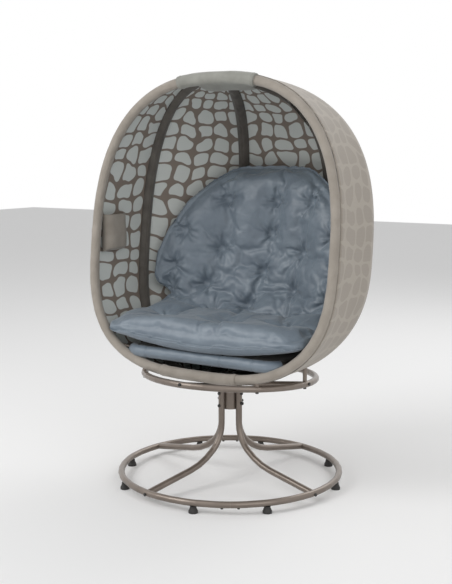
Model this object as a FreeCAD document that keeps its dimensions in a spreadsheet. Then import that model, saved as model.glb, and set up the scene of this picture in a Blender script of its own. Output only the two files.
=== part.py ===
import FreeCAD, Part
import Sketcher
import math
import os

from FreeCAD import Placement, Rotation, Vector

# Swivelling pod chair: a fabric pod on ribs, held in a ring that turns on a four-legged floor stand.
# Millimetres, +Z up. The origin lies on the floor, on the swivel axis. The pod faces -Y.

doc = FreeCAD.newDocument("PodChair")

# Driving sizes
SIZES = (
    ("tube_diameter", 22.0, "round steel tube of stand, ring, rim and seat hoop"),
    ("tube_wall", 1.5, "wall of that tube"),
    ("seat_gap", 0.2, "clearance where one piece is seated on another"),
    ("base_turn", 32.0, "how far the stand is turned under the pod, degrees"),
    ("floor_ring_radius", 385.0, "centre line of the ring on the floor"),
    ("foot_height", 22.0, "rubber foot under the floor ring"),
    ("foot_bottom_diameter", 31.0, "where the foot meets the floor"),
    ("foot_neck_diameter", 21.0, "where the foot meets the ring"),
    ("foot_screw_diameter", 5.0, "screw that holds a foot"),
    ("foot_screw_bore_depth", 8.0, "recess for that screw's head"),
    ("foot_screw_head_diameter", 9.0, "its pan head"),
    ("foot_screw_head_height", 3.0, "its pan head"),
    ("spigot_angle", 14.0, "arc of a spigot inside the ring's joints, degrees"),
    ("spigot_clearance", 0.5, "between spigot and ring, on the radius"),
    ("flat_length", 22.0, "straight run of a bent tube where it is drilled"),
    ("ring_step", 7.5, "between the sections of a ring, degrees"),
    ("ring_screw_angle", 4.0, "from a ring joint to its screw, degrees"),
    ("leg_stand_off", 43.0, "leg centre line from the swivel axis"),
    ("leg_top_height", 334.0, "upper end of a leg"),
    ("leg_bend_height", 205.0, "where a leg starts to bend outwards"),
    ("leg_upper_radius", 115.0, "first bend of a leg"),
    ("leg_upper_turn", 50.0, "first bend of a leg, degrees"),
    ("leg_lower_radius", 230.0, "second bend of a leg"),
    ("leg_end_slope", 10.0, "slope of a leg where it meets the ring, degrees"),
    ("plug_length", 24.0, "threaded plug in the end of a leg or an arm"),
    ("bolt_diameter", 6.0, "bolts of stand and pod"),
    ("bolt_head_diameter", 11.0, "button head of those bolts"),
    ("bolt_head_height", 3.2, "button head of those bolts"),
    ("hub_wall", 2.5, "wall of the sleeve between the legs"),
    ("hub_bottom_height", 254.0, "lower end of the sleeve"),
    ("hub_length", 80.0, "length of the sleeve"),
    ("through_bolt_height", 269.0, "lower of the two crossing bolts"),
    ("through_bolt_step", 9.0, "from that bolt up to the other"),
    ("upper_screw_height", 313.0, "short screw in the top of each leg"),
    ("post_diameter", 38.0, "post that turns in the sleeve"),
    ("running_clearance", 0.05, "between post and bushes, on the radius"),
    ("bush_length", 18.0, "bush inside the sleeve"),
    ("bush_flange_height", 3.0, "flange of the upper bush"),
    ("lower_bush_height", 291.0, "lower face of the lower bush"),
    ("thrust_washer_height", 2.0, "washer that carries the pod"),
    ("bearing_gap", 0.1, "between washer and turning head"),
    ("post_washer_height", 3.0, "washer under the post"),
    ("post_washer_diameter", 50.0, "washer under the post"),
    ("post_bolt_head_height", 5.0, "hexagon head under that washer"),
    ("head_diameter", 52.0, "boss on top of the post"),
    ("head_height", 27.0, "boss on top of the post"),
    ("arm_diameter", 19.0, "tube of the four arms"),
    ("arm_bend_radius", 200.0, "bend of an arm"),
    ("arm_bend_reach", 110.0, "from the axis to that bend"),
    ("support_ring_radius", 300.0, "centre line of the ring that carries the pod"),
    ("support_ring_height", 374.3, "its centre above the floor"),
    ("support_ring_tilt", 3.7, "it is lower at the back, degrees"),
    ("pod_height", 821.8, "widest level of the rim above the floor"),
    ("pod_set_back", -151.0, "rim plane from the swivel axis at that level"),
    ("pod_recline", 6.67, "lean of the rim, degrees"),
    ("rim_half_width", 472.6, "rim centre line, half width"),
    ("rim_rise", 571.5, "rim centre line, widest level to crown"),
    ("rim_drop", 421.3, "rim centre line, widest level to keel"),
    ("rib_diameter", 16.0, "rib tube"),
    ("rib_wall", 1.2, "its wall"),
    ("rib_rise", 580.0, "rib centre line, widest level to crown"),
    ("rib_drop", 430.0, "rib centre line, widest level to keel"),
    ("rib_pole_set_back", 11.5, "where the ribs gather, behind the rim"),
    ("rib_start", 40.0, "from that pole to a rib's end"),
    ("side_rib_out", 463.0, "side rib, sideways from the pole"),
    ("side_rib_back", 269.0, "side rib, backwards from the pole"),
    ("back_rib_out", 185.0, "back rib, sideways from the pole"),
    ("back_rib_back", 512.0, "back rib, backwards from the pole"),
    ("hub_plate_radius", 56.0, "plate that the rib ends are bolted to"),
    ("hub_plate_height", 4.0, "its thickness"),
    ("socket_length", 80.0, "socket that joins the rim halves"),
    ("socket_wall", 2.2, "its wall"),
    ("socket_clearance", 0.5, "between rim and socket, on the radius"),
    ("rim_butt_gap", 3.0, "from the middle to a rim half's end"),
    ("skin_thickness", 1.5, "mesh fabric of the pod"),
    ("skin_start", 62.0, "from the pole to the fabric panels"),
    ("sleeve_wall", 5.2, "padded sleeve round the rim"),
    ("sleeve_clearance", 0.3, "between soft and hard pieces"),
    ("rib_sleeve_width", 34.0, "fabric channel over a rib"),
    ("rib_sleeve_depth", 4.0, "how far it stands in past the rib"),
    ("wrap_half_length", 150.0, "wraps at crown and keel, half length"),
    ("crown_wrap_wall", 5.5, "padded wrap round the crown"),
    ("keel_wrap_wall", 2.5, "wrap round the keel"),
    ("flap_depth", 82.0, "crown wrap's flap under the rib ends"),
    ("flap_width", 200.0, "that flap, sideways"),
    ("standoff_diameter", 14.0, "spacers between ring and pod, hoop and pod"),
    ("seat_spacer_rise", 20.0, "from the hoop's level to where its spacers meet the pod"),
    ("hoop_height", 462.0, "seat hoop above the floor"),
    ("hoop_front_y", -190.0, "front bar of the seat hoop"),
    ("hoop_front_half", 300.0, "front corner of the hoop, sideways"),
    ("hoop_middle_y", 13.0, "side corner of the hoop"),
    ("hoop_middle_half", 296.0, "side corner of the hoop, sideways"),
    ("hoop_back_y", 212.0, "back bar of the seat hoop"),
    ("hoop_back_half", 132.0, "back corner of the hoop, sideways"),
    ("hoop_corner_radius", 50.0, "bends at front and back"),
    ("hoop_side_radius", 140.0, "bends at the sides"),
    ("sling_thickness", 2.5, "fabric deck of the seat"),
    ("band_wall", 9.5, "padded band round the front bar"),
    ("pocket_width", 130.0, "cup pocket, front to back"),
    ("pocket_height", 136.0, "cup pocket, bottom to mouth"),
    ("pocket_depth", 42.0, "cup pocket, from the wall inwards"),
    ("pocket_bottom", 788.0, "its bottom above the floor"),
    ("pocket_front_y", -114.0, "its front edge"),
    ("pocket_wall", 2.0, "its fabric"),
    ("tuft_radius", 34.0, "hollow of a sewn tuft"),
    ("tuft_depth", 13.0, "hollow of a sewn tuft"),
)

sheet = doc.addObject("Spreadsheet::Sheet", "Sizes")
for row, (alias, value, meaning) in enumerate(SIZES, start=1):
    sheet.set(f"A{row}", alias)
    sheet.set(f"B{row}", str(value))
    sheet.set(f"C{row}", meaning)
    sheet.setAlias(f"B{row}", alias)
doc.recompute()

# Shape exponents of rim and ribs: 2 is an ellipse, more is squarer
RIM_EXPONENTS = (2.56, 2.88)
SIDE_RIB_EXPONENTS = (2.75, 2.46)
BACK_RIB_EXPONENTS = (3.14, 2.99)

# Places round the stand, in degrees from its front, and round the support ring
FOOT_ANGLES = (18, 70, 110, 162, 198, 250, 290, 342)
LEG_ANGLES = {"leg_front_right": 45, "leg_back_right": 135, "leg_back_left": 225, "leg_front_left": 315}
ARM_ANGLES = {"arm_front": 0, "arm_right": 90, "arm_back": 180, "arm_left": 270}

nodes = []


def size(alias):
    """The value that the sheet holds for a size."""
    return float(sheet.get(alias))


def bind(thing, **texts):
    """Binds properties to sheet expressions."""
    for name, text in texts.items():
        thing.setExpression(name, text)


def keep(thing, label):
    """Marks an object as a finished sub-part."""
    thing.Label = label
    nodes.append(thing)
    return thing


def cell(alias):
    return f"Sizes.{alias}"


# Bodies, sketches and primitives
def origin_plane(body, role):
    return next(item for item in body.Origin.OriginFeatures if item.Role == role)


def new_sketch(body, role, name):
    sketch = body.newObject("Sketcher::SketchObject", name)
    sketch.AttachmentSupport = [(origin_plane(body, role), "")]
    sketch.MapMode = "FlatFace"
    return sketch


def add_circle(sketch, radius_text):
    """A circle round the sketch's origin, its radius bound to the sheet."""
    index = sketch.addGeometry(Part.Circle(Vector(0, 0, 0), Vector(0, 0, 1), 5.0), False)
    radius = sketch.addConstraint(Sketcher.Constraint("Radius", index, 5.0))
    sketch.setExpression(f"Constraints[{radius}]", radius_text)
    sketch.addConstraint(Sketcher.Constraint("Coincident", index, 3, -1, 1))


def sleeve_body(name, outer_text, inner_text, height_text):
    """A straight tube or disc: a ring section padded upwards."""
    body = doc.addObject("PartDesign::Body", name)
    sketch = new_sketch(body, "XY_Plane", name + "_section")
    add_circle(sketch, outer_text)
    if inner_text:
        add_circle(sketch, inner_text)
    pad = body.newObject("PartDesign::Pad", name + "_pad")
    pad.Profile = sketch
    pad.setExpression("Length", height_text)
    return body


def turned_body(name, corners):
    """A turned piece: corners are radius and height texts, "0" where they lie on an axis."""
    body = doc.addObject("PartDesign::Body", name)
    sketch = new_sketch(body, "XZ_Plane", name + "_profile")
    count = len(corners)
    spread = [Vector(5 + 3 * math.cos(i), 8 + 3 * math.sin(i), 0) for i in range(count)]
    for i in range(count):
        sketch.addGeometry(Part.LineSegment(spread[i], spread[(i + 1) % count]), False)
    for i in range(count):
        sketch.addConstraint(Sketcher.Constraint("Coincident", i, 2, (i + 1) % count, 1))
    for i, texts in enumerate(corners):
        for kind, axis, text in (("DistanceX", -2, texts[0]), ("DistanceY", -1, texts[1])):
            if text == "0":
                sketch.addConstraint(Sketcher.Constraint("PointOnObject", i, 1, axis))
            else:
                index = sketch.addConstraint(Sketcher.Constraint(kind, -1, 1, i, 1, 5.0))
                sketch.setExpression(f"Constraints[{index}]", text)
    turned = body.newObject("PartDesign::Revolution", name + "_turned")
    turned.Profile = sketch
    turned.ReferenceAxis = (sketch, ["V_Axis"])
    turned.Angle = 360
    return body


def cylinder(name, radius_text, height_text):
    thing = doc.addObject("Part::Cylinder", name)
    bind(thing, Radius=radius_text, Height=height_text)
    return thing


def combine(kind, name, base, tool):
    thing = doc.addObject(kind, name)
    thing.Base = base
    thing.Tool = tool
    return thing


def group(label, members):
    thing = doc.addObject("Part::Compound", label)
    thing.Links = members
    return keep(thing, label)


def raw(label, shape, placement=None):
    """A sub-part whose shape is worked out here from the sheet's sizes."""
    thing = doc.addObject("Part::Feature", label)
    thing.Shape = shape
    if placement:
        thing.Placement = placement
    return thing


def bolt(name, head_radius, head_height, shank_radius, shank_length, placement):
    """Head at the origin pointing up, shank below it along -Z."""
    head = cylinder(name + "_head", head_radius, head_height)
    shank = cylinder(name + "_shank", shank_radius, shank_length)
    shank.setExpression("Placement.Base.z", f"-({shank_length})")
    fused = combine("Part::Fuse", name, head, shank)
    fused.Placement = placement
    return fused


def pointing(direction, position):
    """Turns +Z to a direction and moves to a position."""
    return Placement(position, Rotation(Vector(0, 0, 1), direction))


def about_axis(degrees):
    """Turn about the swivel axis, counted from the front (-Y) towards +X."""
    return Placement(Vector(0, 0, 0), Rotation(Vector(0, 0, 1), degrees))


# Bent tubes: ruled lofts through circles, so that all that follows a tube keeps its clearance
def section_circle(point, tangent, across, radius):
    """A circle square to the tangent, its seam always on the side of the bend's own axis."""
    turn = Rotation(across, tangent.cross(across), tangent, "ZXY")
    circle = Part.Wire(Part.Circle(Vector(0, 0, 0), Vector(0, 0, 1), radius).toShape())
    circle.Placement = Placement(point, turn)
    return circle


def loft_round(stations, across, radius):
    """A round bar through stations of a point and a tangent; across is the bend's axis."""
    wires = [section_circle(point, tangent, across, radius) for point, tangent in stations]
    return Part.makeLoft(wires, True, True)


def loft_tube(stations, across, outer, inner):
    return loft_round(stations, across, outer).cut(loft_round(stations, across, inner))


def stations_of(edges):
    """Points and tangents along lines and arcs, a step of at most 10 degrees apart."""
    stations = []
    for edge in edges:
        first, last = edge.FirstParameter, edge.LastParameter
        bend = edge.tangentAt(first).getAngle(edge.tangentAt(last))
        count = max(1, math.ceil(bend / math.radians(10)))
        for i in range(count):
            place = first + (last - first) * i / count
            stations.append((edge.valueAt(place), edge.tangentAt(place)))
    stations.append((edges[-1].valueAt(last), edges[-1].tangentAt(last)))
    return stations


def arc_edge(start, tangent, end):
    """The arc that leaves start along tangent and ends at end."""
    chord = end - start
    along = Vector(chord).normalize()
    side = tangent - along * tangent.dot(along)
    half_turn = tangent.getAngle(along)
    sagitta = chord.Length / 2 * math.tan(half_turn / 2)
    middle = (start + end) * 0.5 + side.normalize() * sagitta
    return Part.Arc(start, middle, end).toShape()


def ring_stations(radius, first, last, flats):
    """Points and tangents on a circle about Z, angles in degrees from the front (-Y) towards +X.

    At each of the flats, where a hole is drilled, the tube runs straight for a short way.
    """
    half = math.degrees(size("flat_length") / 2 / radius)
    count = round((last - first) / size("ring_step"))
    stops = [(first, 0.0), (last, 0.0)]
    for i in range(1, count):
        angle = first + (last - first) * i / count
        if all(abs(angle - flat) > 2 * half for flat in flats):
            stops.append((angle, 0.0))
    for flat in flats:
        reaches = (-1.0, 1.0)
        stops += [(flat, reach * size("flat_length") / 2) for reach in reaches]
    stations = []
    for angle, reach in sorted(stops):
        turn = math.radians(angle)
        tangent = Vector(math.cos(turn), math.sin(turn), 0)
        point = Vector(radius * math.sin(turn), -radius * math.cos(turn), 0)
        stations.append((point + tangent * reach, tangent))
    return stations


UP = Vector(0, 0, 1)
SIDE = Vector(1, 0, 0)


def rounded_path(corners, radii):
    """Straight runs joined by tangent arcs at the inner corners."""
    edges = []
    last = corners[0]
    for before, corner, after, radius in zip(corners, corners[1:], corners[2:], radii):
        back = Vector(before - corner).normalize()
        ahead = Vector(after - corner).normalize()
        half = math.acos(max(-1.0, min(1.0, back.dot(ahead)))) / 2
        cut = radius / math.tan(half)
        enter = corner + back * cut
        leave = corner + ahead * cut
        centre_way = Vector(back + ahead).normalize()
        middle = corner + centre_way * (radius / math.sin(half) - radius)
        if (enter - last).Length > 1e-6:
            edges.append(Part.LineSegment(last, enter).toShape())
        edges.append(Part.Arc(enter, middle, leave).toShape())
        last = leave
    edges.append(Part.LineSegment(last, corners[-1]).toShape())
    return edges


# Floor stand
tube_outer = f"{cell('tube_diameter')} / 2"
tube_inner = f"{cell('tube_diameter')} / 2 - {cell('tube_wall')}"
tube_radius = size("tube_diameter") / 2
tube_bore = tube_radius - size("tube_wall")
ring_height = size("foot_height") + tube_radius
bolt_radius = f"{cell('bolt_diameter')} / 2"
bolt_head = f"{cell('bolt_head_diameter')} / 2"
bolt_head_high = cell("bolt_head_height")
stand = about_axis(size("base_turn"))
hub_radius = size("leg_stand_off") - tube_radius - size("seat_gap")
hub_inner = hub_radius - size("hub_wall")
hub_top = size("hub_bottom_height") + size("hub_length")


def stand_place(degrees, position=Vector(0, 0, 0), rotation=None):
    """A place in the stand's plane at an angle from its front, with -Y as outwards."""
    turn = Placement(Vector(0, 0, 0), Rotation(Vector(0, 0, 1), degrees))
    inner = Placement(position, rotation) if rotation else Placement(position, Rotation())
    return stand.multiply(turn).multiply(inner)


def leg_end():
    """Where a leg's centre line starts, bends and ends, as reach from the axis and height."""
    reach = size("leg_stand_off")
    height = size("leg_bend_height")
    upper = math.radians(size("leg_upper_turn"))
    slope = math.radians(size("leg_end_slope"))
    lower = math.pi / 2 - upper
    first = (reach + size("leg_upper_radius") * (1 - math.cos(upper)),
             height - size("leg_upper_radius") * math.sin(upper))
    second = (first[0] + size("leg_lower_radius") * (math.sin(lower) - math.sin(slope)),
              first[1] - size("leg_lower_radius") * (math.cos(slope) - math.cos(lower)))
    run = (size("floor_ring_radius") - second[0]) / math.cos(slope)
    third = (size("floor_ring_radius"), second[1] - run * math.sin(slope))
    return first, second, third


def in_plane(pair):
    """Reach and height to a point in the stand's -Y half plane."""
    return Vector(0, -pair[0], pair[1])


leg_first, leg_second, leg_third = leg_end()
leg_slope = math.radians(size("leg_end_slope"))
leg_way = Vector(0, -math.cos(leg_slope), -math.sin(leg_slope))
leg_drop = leg_third[1] - ring_height


def stand_leg(name, degrees):
    """Tube from the sleeve down and out to the floor ring, its end coped to that ring."""
    top = Vector(0, -size("leg_stand_off"), size("leg_top_height"))
    bend = Vector(0, -size("leg_stand_off"), size("leg_bend_height"))
    middle = in_plane(leg_first)
    lower = in_plane(leg_second)
    meeting = Vector(0, -leg_third[0], leg_third[1])
    turn_way = math.radians(90 - size("leg_upper_turn"))
    edges = [
        Part.LineSegment(top, bend).toShape(),
        arc_edge(bend, Vector(0, 0, -1), middle),
        arc_edge(middle, Vector(0, -math.cos(turn_way), -math.sin(turn_way)), lower),
        Part.LineSegment(lower, meeting).toShape(),
    ]
    shape = loft_tube(stations_of(edges), SIDE, tube_radius, tube_bore)
    cope = Part.makeCylinder(tube_radius + size("seat_gap"), 6 * tube_radius,
                             Vector(-3 * tube_radius, -size("floor_ring_radius"), ring_height), SIDE)
    outside = Part.makeCylinder(2 * size("floor_ring_radius"), 4 * tube_radius,
                                Vector(0, 0, ring_height - 2 * tube_radius))
    inside = Part.makeCylinder(size("floor_ring_radius"), 4 * tube_radius,
                               Vector(0, 0, ring_height - 2 * tube_radius))
    shape = shape.cut(cope).cut(outside.cut(inside))
    for height in (through_heights[degrees % 180], size("upper_screw_height")):
        hole = Part.makeCylinder(size("bolt_diameter") / 2 + size("seat_gap"), 4 * tube_radius,
                                 Vector(0, -size("leg_stand_off") - 2 * tube_radius, height),
                                 Vector(0, 1, 0))
        shape = shape.cut(hole)
    return keep(raw(name, largest(shape), stand_place(degrees)), name)


def largest(shape):
    """The main solid of a cut shape, without offcuts, its faces pointing out."""
    solid = max(shape.Solids, key=lambda item: abs(item.Volume))
    if solid.Volume < 0:
        solid = solid.reversed()
    return solid


through_heights = {
    135: size("through_bolt_height"),
    45: size("through_bolt_height") + size("through_bolt_step"),
}

# Two half rings on the floor, joined front and back over spigots, drilled for feet and legs
local_feet = [degrees for degrees in FOOT_ANGLES if degrees < 180]
screw_angles = (size("ring_screw_angle"), 180 - size("ring_screw_angle"))
hole_angles = sorted(local_feet + [45, 135] + list(screw_angles))
half_stations = ring_stations(size("floor_ring_radius"), 0.02, 179.98, hole_angles)
half_ring = loft_tube(half_stations, UP, tube_radius, tube_bore)
for degrees in local_feet + list(screw_angles):
    spot = about_axis(degrees).multVec(Vector(0, -size("floor_ring_radius"), -2 * tube_radius))
    half_ring = half_ring.cut(Part.makeCylinder(size("foot_screw_diameter") / 2 + size("seat_gap"),
                                                2 * tube_radius, spot))
for degrees in (45, 135):
    spot = Vector(0, -size("floor_ring_radius"), leg_drop) - leg_way * (3 * tube_radius)
    drill = Part.makeCylinder(size("bolt_diameter") / 2 + size("seat_gap"), 6 * tube_radius, spot, leg_way)
    drill.Placement = about_axis(degrees)
    half_ring = half_ring.cut(drill)
for side, quarter in (("left", 180), ("right", 0)):
    place = stand.multiply(Placement(Vector(0, 0, ring_height), Rotation(UP, quarter)))
    keep(raw("floor_ring_" + side, half_ring, place), "floor_ring_" + side)

spigots = []
arc = size("spigot_angle") / 2
spigot_radius = tube_bore - size("spigot_clearance")
spigot_flats = (-size("ring_screw_angle"), size("ring_screw_angle"))
spigot = loft_tube(ring_stations(size("floor_ring_radius"), -arc, arc, spigot_flats), UP, spigot_radius,
                   spigot_radius - size("tube_wall"))
for degrees in (-size("ring_screw_angle"), size("ring_screw_angle")):
    spot = about_axis(degrees).multVec(Vector(0, -size("floor_ring_radius"), -2 * tube_radius))
    spigot = spigot.cut(Part.makeCylinder(size("foot_screw_diameter") / 2 + size("seat_gap"),
                                          2 * tube_radius, spot))
for number, degrees in enumerate((0, 180)):
    spigots.append(raw(f"spigot_{number}", spigot, stand_place(degrees, Vector(0, 0, ring_height))))
group("ring_spigots", spigots)

screws = []
for degrees in (0, 180):
    for way in (-1, 1):
        angle = degrees + way * size("ring_screw_angle")
        depth = f"2 * {cell('tube_wall')} + 2 * {cell('seat_gap')}"
        spot = Vector(0, -size("floor_ring_radius"), ring_height - tube_radius)
        down = Rotation(Vector(1, 0, 0), 180)
        screws.append(bolt(f"ring_screw_{int(angle)}", f"{cell('foot_screw_head_diameter')} / 2",
                           cell("foot_screw_head_height"), f"{cell('foot_screw_diameter')} / 2",
                           depth, stand_place(angle, spot, down)))
group("ring_screws", screws)

# Flared rubber feet, each held by a screw up through it
feet = []
foot_screws = []
for degrees in FOOT_ANGLES:
    bottom = f"{cell('foot_bottom_diameter')} / 2"
    neck = f"{cell('foot_neck_diameter')} / 2"
    bore = f"{cell('foot_screw_head_diameter')} / 2 + {cell('seat_gap')}"
    hole = f"{cell('foot_screw_diameter')} / 2 + {cell('seat_gap')}"
    foot = turned_body(f"foot_{degrees}", (
        (bore, "0"), (bottom, "0"), (bottom, f"{cell('foot_height')} * 0.3"),
        (neck, f"{cell('foot_height')} * 0.8"), (neck, f"{cell('foot_height')} + 1"),
        (hole, f"{cell('foot_height')} + 1"), (hole, cell("foot_screw_bore_depth")),
        (bore, cell("foot_screw_bore_depth"))))
    seat = cylinder(f"foot_seat_{degrees}", f"{tube_outer} + {cell('seat_gap')}", "60")
    seat.Placement = Placement(Vector(-30, 0, ring_height), Rotation(UP, SIDE))
    seated = combine("Part::Cut", f"seated_foot_{degrees}", foot, seat)
    seated.Placement = stand_place(degrees, Vector(0, -size("floor_ring_radius"), 0))
    feet.append(seated)
    spot = Vector(0, -size("floor_ring_radius"), size("foot_screw_bore_depth") - size("seat_gap"))
    foot_screws.append(bolt(
        f"foot_screw_{degrees}", f"{cell('foot_screw_head_diameter')} / 2",
        cell("foot_screw_head_height"), f"{cell('foot_screw_diameter')} / 2",
        f"{cell('foot_height')} - {cell('foot_screw_bore_depth')} + 2 * {cell('tube_wall')}",
        stand_place(degrees, spot, Rotation(Vector(1, 0, 0), 180))))
group("rubber_feet", feet)

# Four bent legs, each bolted through the ring into a plug in its end
for name, degrees in LEG_ANGLES.items():
    stand_leg(name, degrees)

plugs = []
leg_bolts = []
plug_face = tube_radius + size("seat_gap") + 3
for degrees in LEG_ANGLES.values():
    bore = cylinder(f"leg_plug_bore_{degrees}", f"{bolt_radius} + {cell('seat_gap')}",
                    f"{cell('plug_length')} + 2")
    bore.setExpression("Placement.Base.z", "-1")
    block = cylinder(f"leg_plug_block_{degrees}", f"{tube_inner} - {cell('seat_gap')}",
                     cell("plug_length"))
    plug = combine("Part::Cut", f"leg_plug_{degrees}", block, bore)
    meeting = Vector(0, -leg_third[0], leg_third[1])
    plug.Placement = stand_place(degrees).multiply(pointing(leg_way * -1, meeting - leg_way * plug_face))
    plugs.append(plug)
    head_seat = meeting + leg_way * (tube_radius + size("seat_gap"))
    length = f"{cell('tube_diameter')} + {cell('plug_length')}"
    leg_bolts.append(bolt(f"leg_bolt_{degrees}", bolt_head, bolt_head_high, bolt_radius, length,
                          stand_place(degrees).multiply(pointing(leg_way, head_seat))))
group("leg_plugs", plugs)
group("leg_bolts", leg_bolts)
group("foot_screws", foot_screws)

# Sleeve between the legs, drilled for the crossing bolts and the short upper screws
sleeve = sleeve_body("hub_sleeve_tube",
                     f"{cell('leg_stand_off')} - {tube_outer} - {cell('seat_gap')}",
                     f"{cell('leg_stand_off')} - {tube_outer} - {cell('seat_gap')} - {cell('hub_wall')}",
                     cell("hub_length"))
sleeve.setExpression("Placement.Base.z", cell("hub_bottom_height"))
drills = []
for degrees in (45, 135, 225, 315):
    for height in (through_heights[degrees % 180], size("upper_screw_height")):
        drill = cylinder(f"sleeve_drill_{degrees}_{int(height)}", f"{bolt_radius} + {cell('seat_gap')}",
                         cell("leg_stand_off"))
        drill.Placement = about_axis(degrees).multiply(
            pointing(Vector(0, -1, 0), Vector(0, -hub_inner / 2, height)))
        drills.append(drill)
drill_set = doc.addObject("Part::Compound", "sleeve_drills")
drill_set.Links = drills
hub_sleeve = combine("Part::Cut", "hub_sleeve", sleeve, drill_set)
hub_sleeve.Placement = stand
keep(hub_sleeve, "hub_sleeve")

through_bolts = []
hub_nuts = []
upper_screws = []
outer_face = size("leg_stand_off") + tube_radius + size("seat_gap")
for degrees in (315, 45):
    height = through_heights[degrees % 180]
    head_way = degrees if degrees == 315 else degrees + 180
    length = f"2 * {cell('leg_stand_off')} + {cell('tube_diameter')} + 6"
    spot = Vector(0, -outer_face, height)
    through_bolts.append(bolt(f"through_bolt_{degrees}", bolt_head, bolt_head_high, bolt_radius, length,
                              stand_place(head_way).multiply(pointing(Vector(0, -1, 0), spot))))
    nut = cylinder(f"nut_body_{degrees}", bolt_head, "7")
    cap = doc.addObject("Part::Cone", f"nut_cap_{degrees}")
    bind(cap, Radius1=f"{bolt_head} * 0.8", Radius2="1.5", Height="4")
    cap.Placement = Placement(Vector(0, 0, 7), Rotation())
    solid_nut = combine("Part::Fuse", f"solid_nut_{degrees}", nut, cap)
    thread = cylinder(f"nut_thread_{degrees}", f"{bolt_radius} + 0.05", "7")
    thread.Placement = Placement(Vector(0, 0, -0.5), Rotation())
    bored = combine("Part::Cut", f"cap_nut_{degrees}", solid_nut, thread)
    bored.Placement = stand_place(head_way + 180).multiply(pointing(Vector(0, -1, 0), spot))
    hub_nuts.append(bored)
for degrees in LEG_ANGLES.values():
    spot = Vector(0, -outer_face, size("upper_screw_height"))
    length = f"{cell('tube_diameter')} + {cell('hub_wall')} + 1"
    upper_screws.append(bolt(f"upper_screw_{degrees}", bolt_head, bolt_head_high, bolt_radius, length,
                             stand_place(degrees).multiply(pointing(Vector(0, -1, 0), spot))))
group("hub_through_bolts", through_bolts)
group("hub_cap_nuts", hub_nuts)
group("hub_upper_screws", upper_screws)

# Bushes and thrust washer in the sleeve
bore_text = f"{cell('post_diameter')} / 2 + {cell('running_clearance')}"
bush_text = f"{cell('leg_stand_off')} - {tube_outer} - {cell('seat_gap')} - {cell('hub_wall')} - 0.05"
lower_bush = keep(sleeve_body("lower_bush", bush_text, bore_text, cell("bush_length")), "lower_bush")
lower_bush.setExpression("Placement.Base.z", cell("lower_bush_height"))
flange_text = f"{cell('leg_stand_off')} - {tube_outer} - {cell('seat_gap')}"
upper_bush = keep(turned_body("upper_bush", (
    (bore_text, "0"), (bush_text, "0"), (bush_text, cell("bush_length")),
    (flange_text, cell("bush_length")),
    (flange_text, f"{cell('bush_length')} + {cell('bush_flange_height')}"),
    (bore_text, f"{cell('bush_length')} + {cell('bush_flange_height')}"))), "upper_bush")
upper_bush.setExpression("Placement.Base.z", f"{cell('hub_bottom_height')} + {cell('hub_length')}"
                         f" - {cell('bush_length')}")
washer_bottom = f"{cell('hub_bottom_height')} + {cell('hub_length')} + {cell('bush_flange_height')}"
thrust_washer = keep(sleeve_body("thrust_washer", f"{cell('head_diameter')} / 2 + 2",
                                 f"{bore_text} + 0.5", cell("thrust_washer_height")), "thrust_washer")
thrust_washer.setExpression("Placement.Base.z", washer_bottom)

# Turning post with its head, held down by a washer and a bolt
head_bottom = f"{washer_bottom} + {cell('thrust_washer_height')} + {cell('bearing_gap')}"
post_bottom = f"{cell('lower_bush_height')} - {cell('bearing_gap')}"
post = sleeve_body("post_tube", f"{cell('post_diameter')} / 2",
                   f"{bolt_radius} + {cell('seat_gap')}", f"{head_bottom} - ({post_bottom})")
post.setExpression("Placement.Base.z", post_bottom)
keep(post, "swivel_post")
post_head = keep(sleeve_body("post_head", f"{cell('head_diameter')} / 2", None, cell("head_height")),
                 "post_head")
post_head.setExpression("Placement.Base.z", head_bottom)
post_washer = keep(sleeve_body("post_washer", f"{cell('post_washer_diameter')} / 2",
                               f"{bolt_radius} + {cell('seat_gap')}", cell("post_washer_height")),
                   "post_washer")
post_washer.setExpression("Placement.Base.z", f"{post_bottom} - {cell('post_washer_height')}")
hexagon = doc.addObject("Part::Prism", "post_bolt_hexagon")
hexagon.Polygon = 6
bind(hexagon, Circumradius=bolt_head, Height=cell("post_bolt_head_height"))
post_shank = cylinder("post_bolt_shank", bolt_radius, f"{head_bottom} - ({post_bottom}) - 8")
post_shank.setExpression("Placement.Base.z", cell("post_bolt_head_height"))
post_bolt = keep(combine("Part::Fuse", "post_bolt", hexagon, post_shank), "post_bolt")
post_bolt.setExpression("Placement.Base.z", f"{post_bottom} - {cell('post_washer_height')}"
                        f" - {cell('post_bolt_head_height')}")

# Support ring under the pod, tilted back, drilled for its arm bolts
ring_tilt = math.radians(size("support_ring_tilt"))
ring_place = Placement(Vector(0, 0, size("support_ring_height")),
                       Rotation(Vector(1, 0, 0), -size("support_ring_tilt")))
head_low = hub_top + size("bush_flange_height") + size("thrust_washer_height") + size("bearing_gap")
arm_height = head_low + size("head_height") / 2
arm_radius = size("arm_diameter") / 2
arm_bore = arm_radius - size("tube_wall")


def ring_point(degrees, radius):
    """A point of the support ring's plane at an angle from the front."""
    angle = math.radians(degrees)
    flat = Vector(radius * math.sin(angle), -radius * math.cos(angle), 0)
    return ring_place.multVec(flat)


def arm_line(degrees):
    """An arm's centre line: level from the head, then rising or falling to the ring."""
    target = ring_point(degrees, size("support_ring_radius"))
    reach = math.hypot(target.x, target.y)
    start = Vector(0, -size("head_diameter") / 2, arm_height)
    corner = Vector(0, -size("arm_bend_reach"), arm_height)
    finish = Vector(0, -reach, target.z)
    return start, corner, finish


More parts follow.
